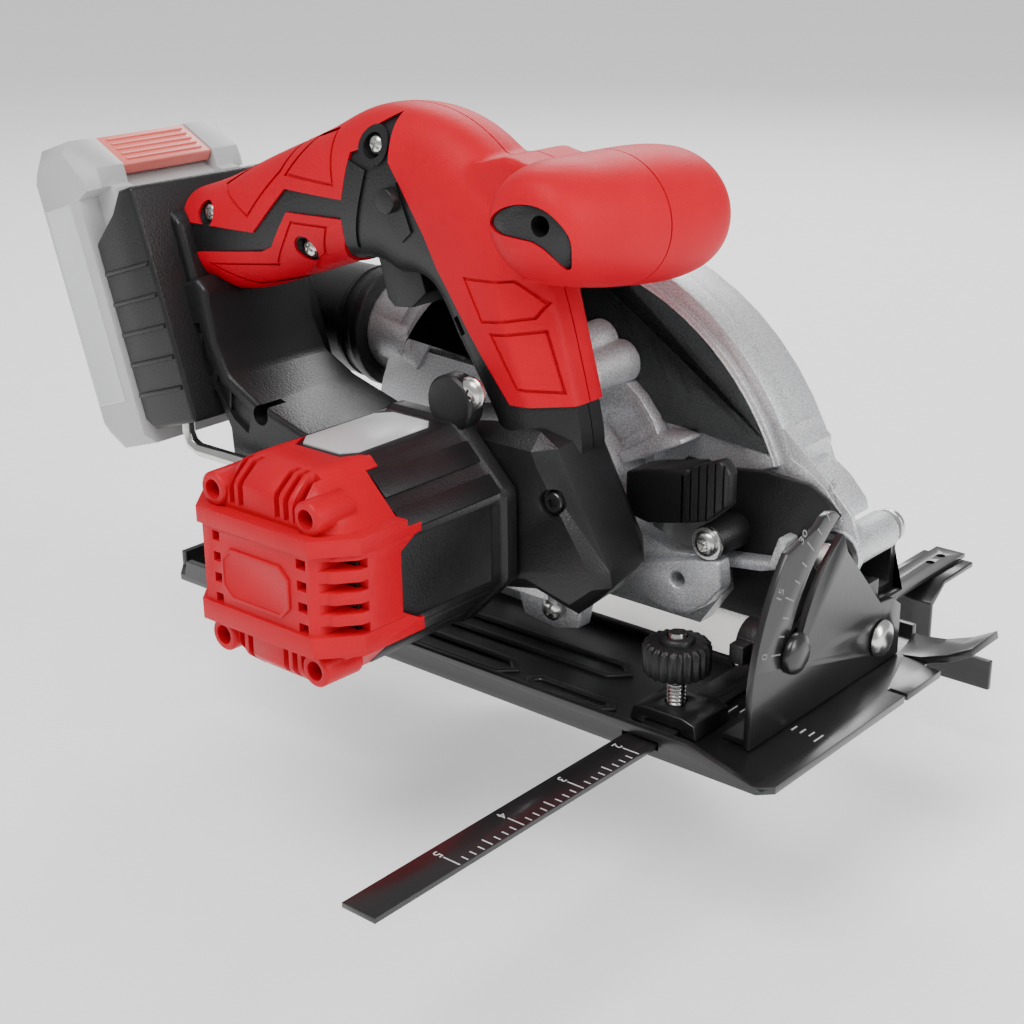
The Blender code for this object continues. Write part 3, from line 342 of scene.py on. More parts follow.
def number(name, text, size, at, x_axis, y_axis, body, material=None, height=0.12):
    """A raised number lying in the plane of these two axes, centred at a point."""
    curve = bpy.data.curves.new(name, "FONT")
    curve.body = text
    curve.size = size
    curve.extrude = height / 2
    curve.align_x = "CENTER"
    curve.align_y = "CENTER"
    curve.resolution_u = 2
    source = bpy.data.objects.new(name + "_curve", curve)
    bpy.context.scene.collection.objects.link(source)
    graph = bpy.context.evaluated_depsgraph_get()
    mesh = bpy.data.meshes.new_from_object(source.evaluated_get(graph), depsgraph=graph)
    bpy.data.objects.remove(source)
    right, up = Vector(x_axis).normalized(), Vector(y_axis).normalized()
    turn = Matrix((right, up, right.cross(up))).transposed().to_4x4()
    mesh.transform(Matrix.Translation(Vector(at) * MM) @ turn @ Matrix.Scale(MM, 4))
    piece = bpy.data.objects.new(name, mesh)
    bpy.context.scene.collection.objects.link(piece)
    return finish(piece, body, material=material or MARKING)


def smooth_line(stations, steps):
    """More stations between these, on Catmull-Rom curves through them."""
    rows = [stations[0], *stations, stations[-1]]
    made = []
    for a, b, c, d in zip(rows, rows[1:], rows[2:], rows[3:]):
        for i in range(steps):
            t = i / steps
            made.append([
                0.5 * (2 * q + (r - p) * t + (2 * p - 5 * q + 4 * r - s) * t * t
                       + (3 * q - p - 3 * r + s) * t ** 3)
                for p, q, r, s in zip(a, b, c, d)
            ])
    made.append(list(stations[-1]))
    return made


# Handle and front grip

HANDLE_LINE = (
    # centreline x and z, slope, half width, half height, squareness of the section, its front chamfers
    (-133, 119, 17, 17.5, 17.5, 0.82, 0),
    (-112, 123, 18, 18, 20, 0.82, 0),
    (-85, 133, 18, 18.5, 21, 0.8, 0),
    (-60, 142, 14, 19, 22, 0.8, 0),
    (-40, 147, 2, 19, 26, 0.78, 0),
    (-20, 144, -28, 19, 28, 0.72, 0),
    (0, 132, -56, 19, 22.5, 0.58, 6),
    (11.5, 112, -65, 19, 18, 0.42, 12),
    (24.5, 83, -90, 18.5, 14.5, 0.36, 13),
)
HANDLE_FOOT = (25.5, 74, -90, 18.5, 14.5, 0.36, 13)  # the last station, inside the gearbox cover
HANDLE_SCREWS = (
    # name, x and z, y of the head
    ("front", -35.5, 161.7, -38.6),
    ("rear", -118.3, 130.8, -37.2),
    ("middle", -69.4, 124.9, -37.0),
)
KNOB_LINE = (
    # y, centre x and z, half length, half height
    (-60.5, 42, 149, 8, 7),
    (-58.5, 42, 149, 13, 12),
    (-54, 42, 148.5, 16.5, 15.5),
    (-46, 42, 148, 19, 17.8),
    (-36, 43, 147, 20.5, 19),
    (-22, 44, 146, 22, 20),
    (-6, 45, 145, 22.5, 20.5),
    (6, 46, 144.5, 20.5, 19),
    (13, 46, 144, 16, 15),
    (17, 46, 144, 10, 9.5),
    (18.2, 46, 144, 4, 4),
)
TRIGGER_PANEL = [(-29, 172), (-36.6, 167.5), (-41.6, 160), (-45.1, 158.8), (-48.6, 144.2),
                 (-50.3, 130.6), (-54, 124), (-60, 106), (-50, 70), (19.5, 70), (20, 88.5), (6, 107),
                 (-8.4, 126.8), (-13.3, 136.5), (-23.2, 151.2), (-28.2, 157.5)]
ZIGZAG = [(-140, 125.4), (-127.5, 126.8), (-114.8, 127.1), (-92.9, 127.6), (-76.1, 144.1),
          (-45, 143.5), (-45, 137.2), (-75.3, 136.5), (-84.7, 123.7), (-89.9, 121.4),
          (-122.3, 117.2), (-140, 112)]
GROOVED = (
    [(-76.2, 148.6), (-67.5, 161), (-55.5, 164.5), (-52.4, 147.9)],
    [(-112, 141), (-95.1, 132.8), (-88.3, 140.6), (-79.7, 149.3), (-75.5, 158.9), (-95, 152)],
    [(-116.6, 113.7), (-84.5, 117.5), (-77.8, 126.6), (-73.2, 133.5), (-57, 133.8),
     (-62, 124), (-80, 112), (-100, 108)],
    [(3.2, 125.7), (19.5, 126.5), (26.7, 119.4), (24.5, 115.3), (9.9, 113.4)],
    [(13.3, 109.9), (27.3, 111.3), (33.4, 93), (22.2, 94.1)],
)
CRESCENT = [(28.4, 148.8), (33.1, 153), (41.2, 155.8), (49.2, 155.6), (54.8, 151.6), (57.2, 146.3),
            (55, 138.2), (52.8, 137.4), (51.5, 142), (47.3, 145.5), (41.1, 145.8), (31.8, 146.4)]


def handle_solid(name, inset, points=44, last=None):
    stations = list(HANDLE_LINE)
    if last:
        stations.append(last)
    rings = []
    for x, z, slope, width, height, power, chamfer in smooth_line(stations, 7):
        t = radians(slope)
        across = Vector((-sin(t), 0, cos(t)))
        ring = []
        for i in range(points):
            a = 2 * pi * (i + 0.5) / points
            y = copysign(abs(cos(a)) ** power, cos(a)) * (width - inset)
            r = copysign(abs(sin(a)) ** power, sin(a)) * (height - inset)
            beyond = abs(y) + r - (width + height - 2 * inset - chamfer)
            if r > 0 and beyond > 0:
                y -= copysign(beyond / 2, y)
                r -= beyond / 2
            ring.append(Vector((x, HANDLE_Y + y, z)) + across * r)
        rings.append(ring)
    return lofted(name, rings)


def knob_solid(name, inset=0.0):
    rings = []
    for y, x, z, a, b in smooth_line(KNOB_LINE, 4):
        away = 1 if y > HANDLE_Y else -1
        turns = [2 * pi * i / 48 for i in range(48)]
        rings.append([Vector((x + (a - inset) * cos(t), y - away * inset, z + (b - inset) * sin(t)))
                      for t in turns])
    return lofted(name, rings)


def soft_skin():
    """The red overmould over grip, neck and knob as one blended surface."""
    neck_outline = [(-14, 148), (4, 160), (16, 163), (30, 160), (36, 150), (34, 133), (24, 128), (8, 134)]
    body = handle_solid("grip_overmould", 0)
    other = [knob_solid("knob"), prism("neck", neck_outline, "Y", HANDLE_Y - 15, HANDLE_Y + 15)]
    joined(body, *other, solver="EXACT")
    remesh = body.modifiers.new("even", "REMESH")
    remesh.mode = "VOXEL"
    remesh.voxel_size = 1.25 * MM
    smooth = body.modifiers.new("soften", "SMOOTH")
    smooth.factor = 0.5
    smooth.iterations = 9
    return applied(body)


def groove_tool(outline, width, inset):
    """The tool for a shallow channel along an outline, on both sides of the handle."""
    ring = prism("groove", offset(outline, width / 2), "Y", *HANDLE_SIDES)
    island = prism("island", offset(outline, -width / 2), "Y", -61, 21)
    return cut(ring, island, handle_solid("depth", inset))


def build_handle():
    skin = soft_skin()
    below = block("below", (-80, 60), (-70, 30), (40, 88.8))
    panels = [prism("panel", outline, "Y", *HANDLE_SIDES) for outline in (TRIGGER_PANEL, ZIGZAG)]
    cut(skin, *panels, below)
    cut(skin, *[groove_tool(outline, 1.0, 0.7) for outline in GROOVED])
    seam = block("seam", (-140, 80), (HANDLE_Y - 0.25, HANDLE_Y + 0.25), (80, 190))
    cut(seam, handle_solid("seam_depth", 0.55), knob_solid("seam_knob", 0.5))
    crescent = prism("crescent", rounded(CRESCENT), "Y", -75, -48)
    ports = [turned("port", "Y", (x, z), [(-60, 4.4), (-20, 4.4)], steps=24)
             for _, x, z, _ in HANDLE_SCREWS[1:]]
    cut(skin, seam, crescent, *ports)
    soft_nodes = ("grip_overmould_right", "grip_overmould_left", "front_knob_right", "front_knob_left")
    finish(skin, "head", "red_grip", replaces=soft_nodes, sharp=42)

    core = handle_solid("handle_shell", 0.95, last=HANDLE_FOOT)
    opening = [(-51, 135), (-48, 104), (-19, 104), (-20, 135)]
    room = prism("trigger_room", opening, "Y", HANDLE_Y - 8.5, HANDLE_Y + 8.5)
    hole = prism("strip_hole", [(-3.6, 112), (-1.4, 113.4), (1.8, 108.2), (-0.4, 106.8)], "Y", -60, -36)
    pockets = [turned("pocket", "Y", (x, z), [(-60, 3.9), (-38.0, 3.9), (-30, 2)], steps=24)
               for _, x, z, _ in HANDLE_SCREWS]
    core_seam = block("core_seam", (-140, 80), (HANDLE_Y - 0.2, HANDLE_Y + 0.2), (60, 190))
    cut(core_seam, handle_solid("core_seam_depth", 1.6, last=HANDLE_FOOT))
    cut(core, room, hole, core_seam, *pockets)
    finish(core, "head", "black_plastic", replaces=("handle_shell_right", "handle_shell_left"), sharp=42)

    rib_line = [(-32.3, 147.8), (-24.8, 151.6), (-18.9, 136.9), (-23.3, 133.2)]
    rib = prism("switch_rib", rib_line, "Y", *HANDLE_SIDES)
    edge = prism("switch_edge", [(-47.5, 157), (-51, 128), (-46, 128), (-38, 154)], "Y", *HANDLE_SIDES)
    joined(rib, edge, solver="EXACT")
    within(rib, handle_solid("rib_height", 0.1), solver="EXACT")
    cut(rib, block("finger_room", (-80, 0), (HANDLE_Y - 11.5, HANDLE_Y + 11.5), (90, 180)), solver="EXACT")
    finish(rib, "head", "black_plastic")
    front = HANDLE_SCREWS[0][1:3]
    collar = turned("screw_collar", "Y", front, [(-60, 6.3), (20, 6.3)])
    cut(collar, turned("collar_hole", "Y", front, [(-61, 4.0), (21, 4.0)]))
    within(collar, handle_solid("collar_height", 0.0), solver="EXACT")
    finish(collar, "head", "black_plastic")

    inlay = knob_solid("knob_inlay", 0.7)
    within(inlay, prism("crescent_plug", offset(rounded(CRESCENT), -0.25), "Y", -75, -48.2))
    cut(inlay, turned("inlay_hole", "Y", (48.4, 150.2), [(-70, 3.0), (-51, 3.0)], steps=28))
    finish(inlay, "head", "black_plastic", replaces=("knob_end_inlay",))
    for name, x, z, y in HANDLE_SCREWS:
        screw(f"handle_screw_{name}", (x, z), y, "head", radius=3.1)


# Rear column, socket and battery

def battery_point(forward, y, up):
    ahead = Vector((cos(BATTERY_LEAN), 0, sin(BATTERY_LEAN)))
    along = Vector((-sin(BATTERY_LEAN), 0, cos(BATTERY_LEAN)))
    return ahead * forward + along * up + Vector((0, y, 0))


def battery_prism(name, outline, low, high):
    return lofted(name, [[battery_point(f, y, u) for f, u in outline] for y in (low, high)])


def build_column():
    """The rear column: a ski-slope front, flat sides with ribs, and a foot on the motor."""
    outline = [(-136, 100), (-134, 103), (-118, 109.8), (-113, 106), (-110, 88), (-104, 77),
               (-90, 70), (-62, 62), (-44, 60), (-44, 47), (-80, 46), (-104, 44), (-105, 58),
               (-112.5, 72), (-128, 58)]
    column = prism("rear_column", outline, "Y", HANDLE_Y - 24, HANDLE_Y + 24)
    bevelled(column, 2.2, 3)
    slope = [(-118, 112), (-111, 106), (-108, 89), (-102, 79), (-88, 72.5), (-60, 64.5), (-60, 80),
             (-90, 110)]
    channels = [prism("channel", offset(slope, 2.0), "Y", y, y + 3.0) for y in (-38, -31, -16, -9)]
    side = [(-126, 92), (-117, 94), (-114.5, 84), (-107, 74), (-92, 66.5), (-95, 58), (-102, 62),
            (-112, 76), (-122, 72)]
    recesses = [prism("recess_near", side, "Y", HANDLE_SIDES[0], HANDLE_Y - 22.2),
                prism("recess_far", side, "Y", HANDLE_Y + 22.2, HANDLE_SIDES[1])]
    hole = turned("column_hole", "Y", (-88, 66), [(-60, 3.6), (-36, 3.6)], steps=28)
    cut(column, *channels, *recesses, hole)
    finish(column, "head", "black_plastic")
    for i in range(3):
        x = -119 + 7 * i
        z = 84 - 7.5 * i
        rib_line = [(x - 0.9, z - 6), (x + 0.9, z - 6), (x + 2.4, z + 6), (x + 0.6, z + 6)]
        rib = prism(f"column_rib_{i}", rib_line, "Y", HANDLE_Y - 23.6, HANDLE_Y + 23.6)
        finish(bevelled(rib, 0.3), "head", "black_plastic")


def build_socket():
    socket = from_node("battery_socket_body", "battery_socket")
    bevelled(socket, 1.6, 3, angle=50)
    finish(socket, "head", "black_plastic", replaces=("battery_socket",))
    for i in range(5):
        up = 104 + 11 * i
        rib = battery_prism(f"socket_rib_{i}", [(-113, up), (-88, up), (-88, up + 1.6), (-113, up + 1.6)],
                            BATTERY_SIDE + 0.1, BATTERY_SIDE + 2)
        finish(bevelled(rib, 0.4), "head", "black_plastic")
    collar_line = [(-88, 112), (-82.5, 116), (-82.5, 160), (-88, 166)]
    collar = battery_prism("socket_collar", collar_line, HANDLE_Y - 22, HANDLE_Y + 22)
    finish(bevelled(collar, 2.0, 3), "head", "black_plastic")
    terminal = from_node("terminal_block_body", "terminal_block")
    finish(bevelled(terminal, 0.5), "head", "black_plastic", replaces=("terminal_block",))


def build_battery():
    case = from_node("battery_pack", "battery_case")
    bevelled(case, 1.8, 3, angle=40)
    finish(case, "battery", "battery_grey", replaces=("battery_case",))
    frame_outline = [(-137, 104), (-121, 104), (-121, 176), (-137, 176)]
    inner = [(-136.2, 104.8), (-121.8, 104.8), (-121.8, 175.2), (-136.2, 175.2)]
    border = battery_prism("battery_panel", frame_outline, BATTERY_SIDE - 0.35, BATTERY_SIDE + 2)
    cut(border, battery_prism("panel_middle", inner, BATTERY_SIDE - 4, BATTERY_SIDE - 0.15), solver="EXACT")
    finish(bevelled(border, 0.1), "battery", material=PANEL_SILVER)
    low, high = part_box("battery_latch")
    latch = from_node("battery_latch_button", "battery_latch")
    bevelled(latch, 0.6, 2)
    finish(latch, "battery_latch", "latch_red", replaces=("battery_latch",))
    middle = (low + high) / 2 / MM
    slope = Vector((cos(LATCH_TILT), 0, -sin(LATCH_TILT)))
    outward = Vector((sin(LATCH_TILT), 0, cos(LATCH_TILT)))
    for i in range(5):
        centre = middle + slope * (-6 + 3 * i) + outward * 2.2
        section = ((-0.6, -0.9), (0.6, -0.9), (0.35, 0.7), (-0.35, 0.7))
        ring = [centre + slope * a + outward * b for a, b in section]
        rings = [[Vector((p.x, y, p.z)) for p in ring] for y in (low.y / MM + 3, high.y / MM - 3)]
        finish(lofted(f"latch_rib_{i}", rings), "battery_latch", "latch_red")


# Motor

def motor_ring(half, y, corner):
    """An octagon with rounded corners, round the motor's axis."""
    points = []
    c = half * corner
    corners = [(half, half - c), (half - c, half), (-half + c, half), (-half, half - c),
               (-half, -half + c), (-half + c, -half), (half - c, -half), (half, -half + c)]
    for before, point, after in zip(corners[-1:] + corners[:-1], corners, corners[1:] + corners[:1]):
        for t, other in ((0.12, before), (0.04, before), (0.04, after), (0.12, after)):
            points.append(Vector(point).lerp(Vector(other), t))
    return [Vector((MOTOR.x + p.x, y, MOTOR.z + p.y)) for p in points]


def facet_point(across, out, y, turn):
    """A point given across and out from the motor's +X facet, turned round the motor's axis."""
    a = radians(turn)
    x, z = out * cos(a) - across * sin(a), out * sin(a) + across * cos(a)
    return Vector((MOTOR.x + x, y, MOTOR.z + z))


def facet_block(name, across, out, y, turn):
    corners = ((across[0], out[0]), (across[1], out[0]), (across[1], out[1]), (across[0], out[1]))
    return lofted(name, [[facet_point(a, o, along, turn) for a, o in corners] for along in y])


def build_motor_housing():
    rings = [motor_ring(MOTOR_HALF + r, y, MOTOR_CORNER) for y, r in
             ((-43.6, 0.6), (-44.6, 1.5), (-49, 1.5), (-50, 0.4), (-51, 0), (-86, -0.2), (-98, -0.9))]
    housing = lofted("motor_housing_shell", rings)
    boss = turned("upper_boss", "Y", (3.5, 88.5), [(-50, 8.2), (-49.2, 9.0), (-44, 9.1)], steps=32)
    joined(housing, boss)
    recesses = [facet_block("recess", (-13, 12), (MOTOR_HALF - 0.9, 60), (-100, -54), turn)
                for turn in (0, 180, 270)]
    cut(housing, *recesses, turned("bore", "Y", (MOTOR.x, MOTOR.z), [(-110, 27), (-40, 27)], steps=48))
    finish(bevelled(housing, 0.5), "head", "black_plastic", replaces=("motor_housing",))
    for turn in (45, 135, 225, 315):
        for i, across in enumerate(((-12.5, -5.5), (-1, 7))):
            out = (MOTOR_HALF - 2, MOTOR_HALF + 0.9)
            band = facet_block(f"housing_band_{turn}_{i}", across, out, (-91, -47), turn)
            finish(bevelled(band, 0.4), "head", "black_plastic")
    outline = [(-13.5, -86), (-9.5, -91), (5.5, -91), (9.5, -86.5),
               (9.5, -57), (5.5, -52.5), (-9.5, -52.5), (-13.5, -57)]
    outline = [(MOTOR.x + x, y) for x, y in outline]
    panel = prism("motor_panel", outline, "Z", MOTOR.z + MOTOR_HALF - 0.6, MOTOR.z + MOTOR_HALF + 0.12)
    finish(bevelled(panel, 0.1), "head", material=PANEL_SILVER)
    screw("motor_screw_top", (10.5, 92.5), -49.5, "head", radius=4.4, washer=5.2)
    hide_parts("motor_screw_upper")
    flange_line = [(8, 22), (11, 12), (24, 10.5), (34, 13), (36, 22), (30, 28)]
    flange = prism("low_flange", flange_line, "Y", -24.2, -18)
    finish(bevelled(flange, 0.8), "head", "cast_aluminium")
    screw("motor_screw_low", (25, 18.4), -28.2, "head", radius=3.8)


def build_motor_cap():
    """The red end cap: an octagon set back behind a band that wraps its face, with vents and bosses."""
    rings = [motor_ring(MOTOR_HALF + r, y, MOTOR_CORNER) for y, r in
             ((-86.5, 0.4), (-90, 0.5), (-104, 0.5), (-110.5, 0.0), (-116.2, -4.6), (-117.0, -6.0))]
    cap = lofted("motor_cap", rings)
    for low, high, inset in ((-17.5, -11, 0), (-11.2, 13.5, 1.1), (13.3, 18.4, 0)):
        side, face, corner = MOTOR_HALF + 0.8 - inset, MOTOR_FACE + inset, 23.6 - inset
        wrap = [(-side, -86), (-side, -110.5), (-corner, face), (corner, face), (side, -110.5), (side, -86)]
        wrap = [(MOTOR.x + x, y) for x, y in wrap]
        joined(cap, prism("cap_band", wrap, "Z", MOTOR.z + low, MOTOR.z + high), solver="EXACT")
    inner = turned("cap_space", "Y", (MOTOR.x, MOTOR.z), [(-106, 26.5), (-80, 26.5)], steps=48)
    shell = lofted("cap_seat", [motor_ring(MOTOR_HALF - 0.9, y, MOTOR_CORNER) for y in (-99, -80)])
    cut(cap, inner, shell, solver="EXACT")
    for turn in range(0, 360, 45):
        notch = [(-9.5, -94.4), (9.5, -94.4), (13.5, -87.5), (13.5, -80), (-13.5, -80), (-13.5, -87.5)]
        if turn % 90:
            notch = [(-12, -91.5), (9, -91.5), (9, -80), (-12, -80)]
        rings = [[facet_point(a, out, y, turn) for a, y in notch] for out in (22, 60)]
        cut(cap, lofted("notch", rings), solver="EXACT")
    corners = [(-19.6, 23.3), (19.6, 23.0), (-19.4, -23.2), (20.0, -23.4)]
    corners = [(MOTOR.x + x, MOTOR.z + z) for x, z in corners]
    profile = [(-118.2, 4.6), (-117.6, 5.2), (-104, 5.4)]
    bosses = [turned("boss", "Y", centre, profile, steps=28) for centre in corners]
    joined(cap, *bosses, solver="EXACT")
    holes = [turned("hole", "Y", centre, [(-122, 3.0), (-111, 3.0)], steps=24) for centre in corners]
    slots = []
    in_front = -122
    columns = ((-18.2, -15.2, -112), (17.4, 21.2, -112), (24.2, 34, -107.5))
    for row in (10.2, 3.6, -3.0, -9.5):
        z = (MOTOR.z + row - 1.5, MOTOR.z + row + 1.5)
        for low, high, depth in columns:
            slots.append(block("slot", (MOTOR.x + low, MOTOR.x + high), (in_front, depth), z))
    for side in (-1, 1):
        for x in (-13.6, -9.8, 5.6, 9.4, 13.2):
            z = sorted((MOTOR.z + side * 20.0, MOTOR.z + side * 34))
            slots.append(block("fin_gap", (MOTOR.x + x, MOTOR.x + x + 2.2), (in_front, -107.5), z))
    cut(cap, *holes, *slots, solver="EXACT")
    finish(bevelled(cap, 0.3, 2, angle=40), "head", "red_plastic", replaces=("motor_end_cap",))
    # Painted shade: a black sheet inside the cap, seen only through the vent slots, stands in for the shade
    # inside the vents
    rings = [motor_ring(MOTOR_HALF - 3.0, y, MOTOR_CORNER) for y in (-106.5, -109.0)]
    back = lofted("cap_vent_shade_sheet", rings)
    finish(back, "head", "black_plastic")
    octagon = [(-10.5, 7.8), (10.5, 7.8), (14.4, 4.2), (14.4, -4.6),
               (10.5, -8.4), (-10.5, -8.4), (-14.4, -4.6), (-14.4, 4.2)]
    octagon = [(MOTOR.x + x, MOTOR.z + z) for x, z in octagon]
    plate = prism("cap_octagon", octagon, "Y", MOTOR_FACE + 0.35, MOTOR_FACE + 3)
    dish = prism("octagon_dish", offset(octagon, -1.1), "Y", MOTOR_FACE - 1, MOTOR_FACE + 0.75)
    cut(plate, dish, solver="EXACT")
    finish(bevelled(plate, 0.15), "head", "red_plastic")


# Gearbox cover, guard and what sits between them

def build_cover():
    cover = from_node("gearbox_cover_shell", "gearbox_cover")
    place = (38, 62)
    recess = turned("cover_recess", "Y", place, [(-60, 4.8), (-40.5, 4.4)], steps=32)
    cut(cover, recess, solver="EXACT")
    bevelled(cover, 0.7, 2, angle=18)
    finish(cover, "head", "black_plastic", replaces=("gearbox_cover",), sharp=30)
    bolt = turned("cover_screw", "Y", place, [(-42.0, 2.9), (-41.6, 3.3), (-39.8, 3.3)], steps=28)
    socket = prism("cover_socket", circle(place, 1.9, 6), "Y", -45, -40.8)
    cut(bolt, socket, solver="EXACT")
    finish(bolt, "head", "black_steel")
    housing = from_node("gear_housing_casting", "gear_housing")
    finish(bevelled(housing, 0.8, 2, angle=40), "head", "cast_aluminium", replaces=("gear_housing",))


def guard_sector(name, inner, outer, low, high, start, end, steps=48):
    centre = (ARBOR.x, ARBOR.z)
    outline = arc(centre, outer, start, end, steps) + arc(centre, inner, end, start, steps)
    return prism(name, outline, "Y", low, high)


def build_guard():
    pivot_low, pivot_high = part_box("depth_pivot_pin")
    pivot = ((pivot_low.x + pivot_high.x) / 2 / MM, (pivot_low.z + pivot_high.z) / 2 / MM)
    guard = from_node("upper_guard_casting", "upper_guard", merged=False)
    spare = block("spare_metal", (86, 130), (21.5, 70), (10, 90))
    cut(spare, turned("kept_rim", "Y", (ARBOR.x, ARBOR.z), [(10, 96.6), (80, 96.6)], steps=120),
        turned("kept_boss", "Y", pivot, [(10, 6.4), (80, 6.4)]), solver="EXACT")
    cut(guard, spare)
    finish(bevelled(guard, 0.8, 2, angle=40), "head", "cast_aluminium", replaces=("upper_guard",), sharp=34)
    lip = [(83, 69), (89, 66.5), (95, 62.5), (101, 56), (102, 52.5), (99, 51), (92, 56), (83, 60)]
    plateau = [(5, 76), (10, 79), (18, 83), (24, 84), (29, 80), (34, 74), (37, 68), (35, 60), (17, 58)]
    ledge = [(22, 56.5), (36, 62.5), (49, 69.5), (48.5, 71), (38, 70.2), (22, 60)]
    details = [
        ("guard_band", guard_sector("guard_band", 80, 91, 18.8, 21, 22, 152)),
        ("guard_rim_step", guard_sector("guard_rim_step", 91.5, 96.2, 19.9, 30, 20, 154)),
        ("guard_rim_line", guard_sector("guard_rim_line", 88.6, 89.6, 18.4, 20, 22, 152)),
        ("guard_ledge", prism("guard_ledge", ledge, "Y", 9, 20.4)),
        ("guard_lip", prism("guard_lip", lip, "Y", 19.6, 36)),
    ]
    arrow = [(16, 72), (24.5, 76), (29.5, 69.5), (19, 62), (17, 66), (13, 64)]
    raised = prism("guard_plateau", plateau, "Y", 13.6, 20.4)
    cut(raised, prism("plateau_arrow", arrow, "Y", 10, 14.6), solver="EXACT")
    details.append(("guard_plateau", raised))
    for name, piece in details:
        finish(bevelled(piece, 0.5, 2), "head", "cast_aluminium")
    profile = [(-2, 5.4), (-1, 6.4), (9, 6.8), (20.6, 7.5)]
    for i, centre in enumerate(((9.4, 95), (18.2, 89.6))):
        boss = turned(f"guard_boss_{i}", "Y", centre, profile, steps=36)
        finish(boss, "head", "cast_aluminium")
    tongue_line = [(34, 29), (45, 31), (60, 36), (71, 38), (72, 29),
                   (66.5, 22), (60, 17.5), (52, 16.5), (40, 19), (34, 20)]
    tongue = prism("guard_tongue", tongue_line, "Y", -1, 5.6)
    cut(tongue, turned("tongue_hole", "Y", (55.5, 28), [(-5, 2.6), (10, 2.6)], steps=28), solver="EXACT")
    finish(bevelled(tongue, 0.9, 3), "head", "cast_aluminium")
    strap = [(61, 31.5), (80, 34), (86, 36), (89.5, 46.5), (86, 47), (83, 38), (72, 36.5), (61, 35)]
    finish(bevelled(prism("guard_strap", strap, "Y", 9, 16), 0.8, 2), "head", "cast_aluminium")
    # A black plate laid over the guard's face below its rim, from the tongue up to the lip
    cover = [(58, 62), (76, 64.5), (92, 63.5), (98, 60), (103, 55.5), (99.8, 51.5), (91, 46),
             (96, 30), (88, 14), (58, 14)]
    finish(bevelled(prism("guard_black_plate", cover, "Y", 15.6, 18.4), 0.7, 2), "head", "black_plastic")
    place = (66, 43)
    screw("guard_screw", place, -2.6, "head", radius=4.2, washer=5.6)
    post = turned("guard_screw_post", "Y", place, [(0.6, 5.0), (1.4, 5.6), (15.6, 6.0)], steps=32)
    finish(post, "head", "black_plastic")
    lower = from_node("lower_guard_shell", "lower_guard")
    finish(bevelled(lower, 0.35, 2, angle=40), "lower_guard", "zinc_steel", replaces=("lower_guard",))


def build_lever():
    """The ribbed lever: a flat arm from behind the cover and an upright thumb pad."""
    arm_line = [(36, 47), (36, 61), (44, 63.5), (60, 67), (63, 62), (61, 49), (45, 45.5)]
    arm = bevelled(prism("spindle_lock_arm", arm_line, "Y", -3, 10), 0.9, 3)
    pad_line = [(60, 49.5), (60.5, 65), (63, 69), (74, 73.5), (77.2, 70), (77.2, 59), (70, 52.5)]
    pad = bevelled(prism("spindle_lock_pad", pad_line, "Y", -6, -0.5), 1.4, 4)
    joined(arm, pad, solver="EXACT")
    grooves = [block("groove", (63 + 3 * i, 63.7 + 3 * i), (-8, -5.2), (40, 80)) for i in range(5)]
    slit = block("pad_slit", (57.6, 58.6), (-8, -1.6), (47, 64.5))
    cut(arm, *grooves, slit, solver="EXACT")
    finish(arm, "spindle_lock", "black_plastic", replaces=("spindle_lock_lever",))


# Shoe, quadrant, brackets and fence

def build_shoe():
    shoe = from_node("shoe_pressing", "shoe_plate")
    finish(bevelled(shoe, 0.7, 2, angle=40), "shoe", "black_steel", replaces=("shoe_plate",))
    top = 2.5
    outlines = [
        [(-40, -50), (20, -50), (26, -44), (20, -38), (-40, -38), (-46, -44)],
        [(34, -50), (62, -50), (66, -46), (62, -42), (34, -42), (30, -46)],
        [(-30, -30), (50, -30), (56, -24), (50, -18), (-30, -18), (-36, -24)],
    ]
    for i, outline in enumerate(outlines):
        ring = prism(f"shoe_emboss_{i}", outline, "Z", top - 0.4, top + 1.1)
        cut(ring, prism("emboss_middle", offset(outline, -2.6), "Z", 0, 9), solver="EXACT")
        finish(bevelled(ring, 0.7, 3), "shoe", "black_steel")
    lip = prism("window_lip", [(-90, 1.2), (76, 1.2), (76, 3.6), (-90, 3.6)], "Z", top - 0.3, top + 3)
    finish(bevelled(lip, 0.6, 2), "shoe", "black_steel")
    for i in range(11):
        x = 92 + 3 * i
        length = 5 if i % 5 == 0 else 3
        tick = block(f"shoe_tick_{i}", (x, x + 0.5), (-20 - length, -20), (top - 0.1, top + 0.12))
        finish(tick, "shoe", material=MARKING)


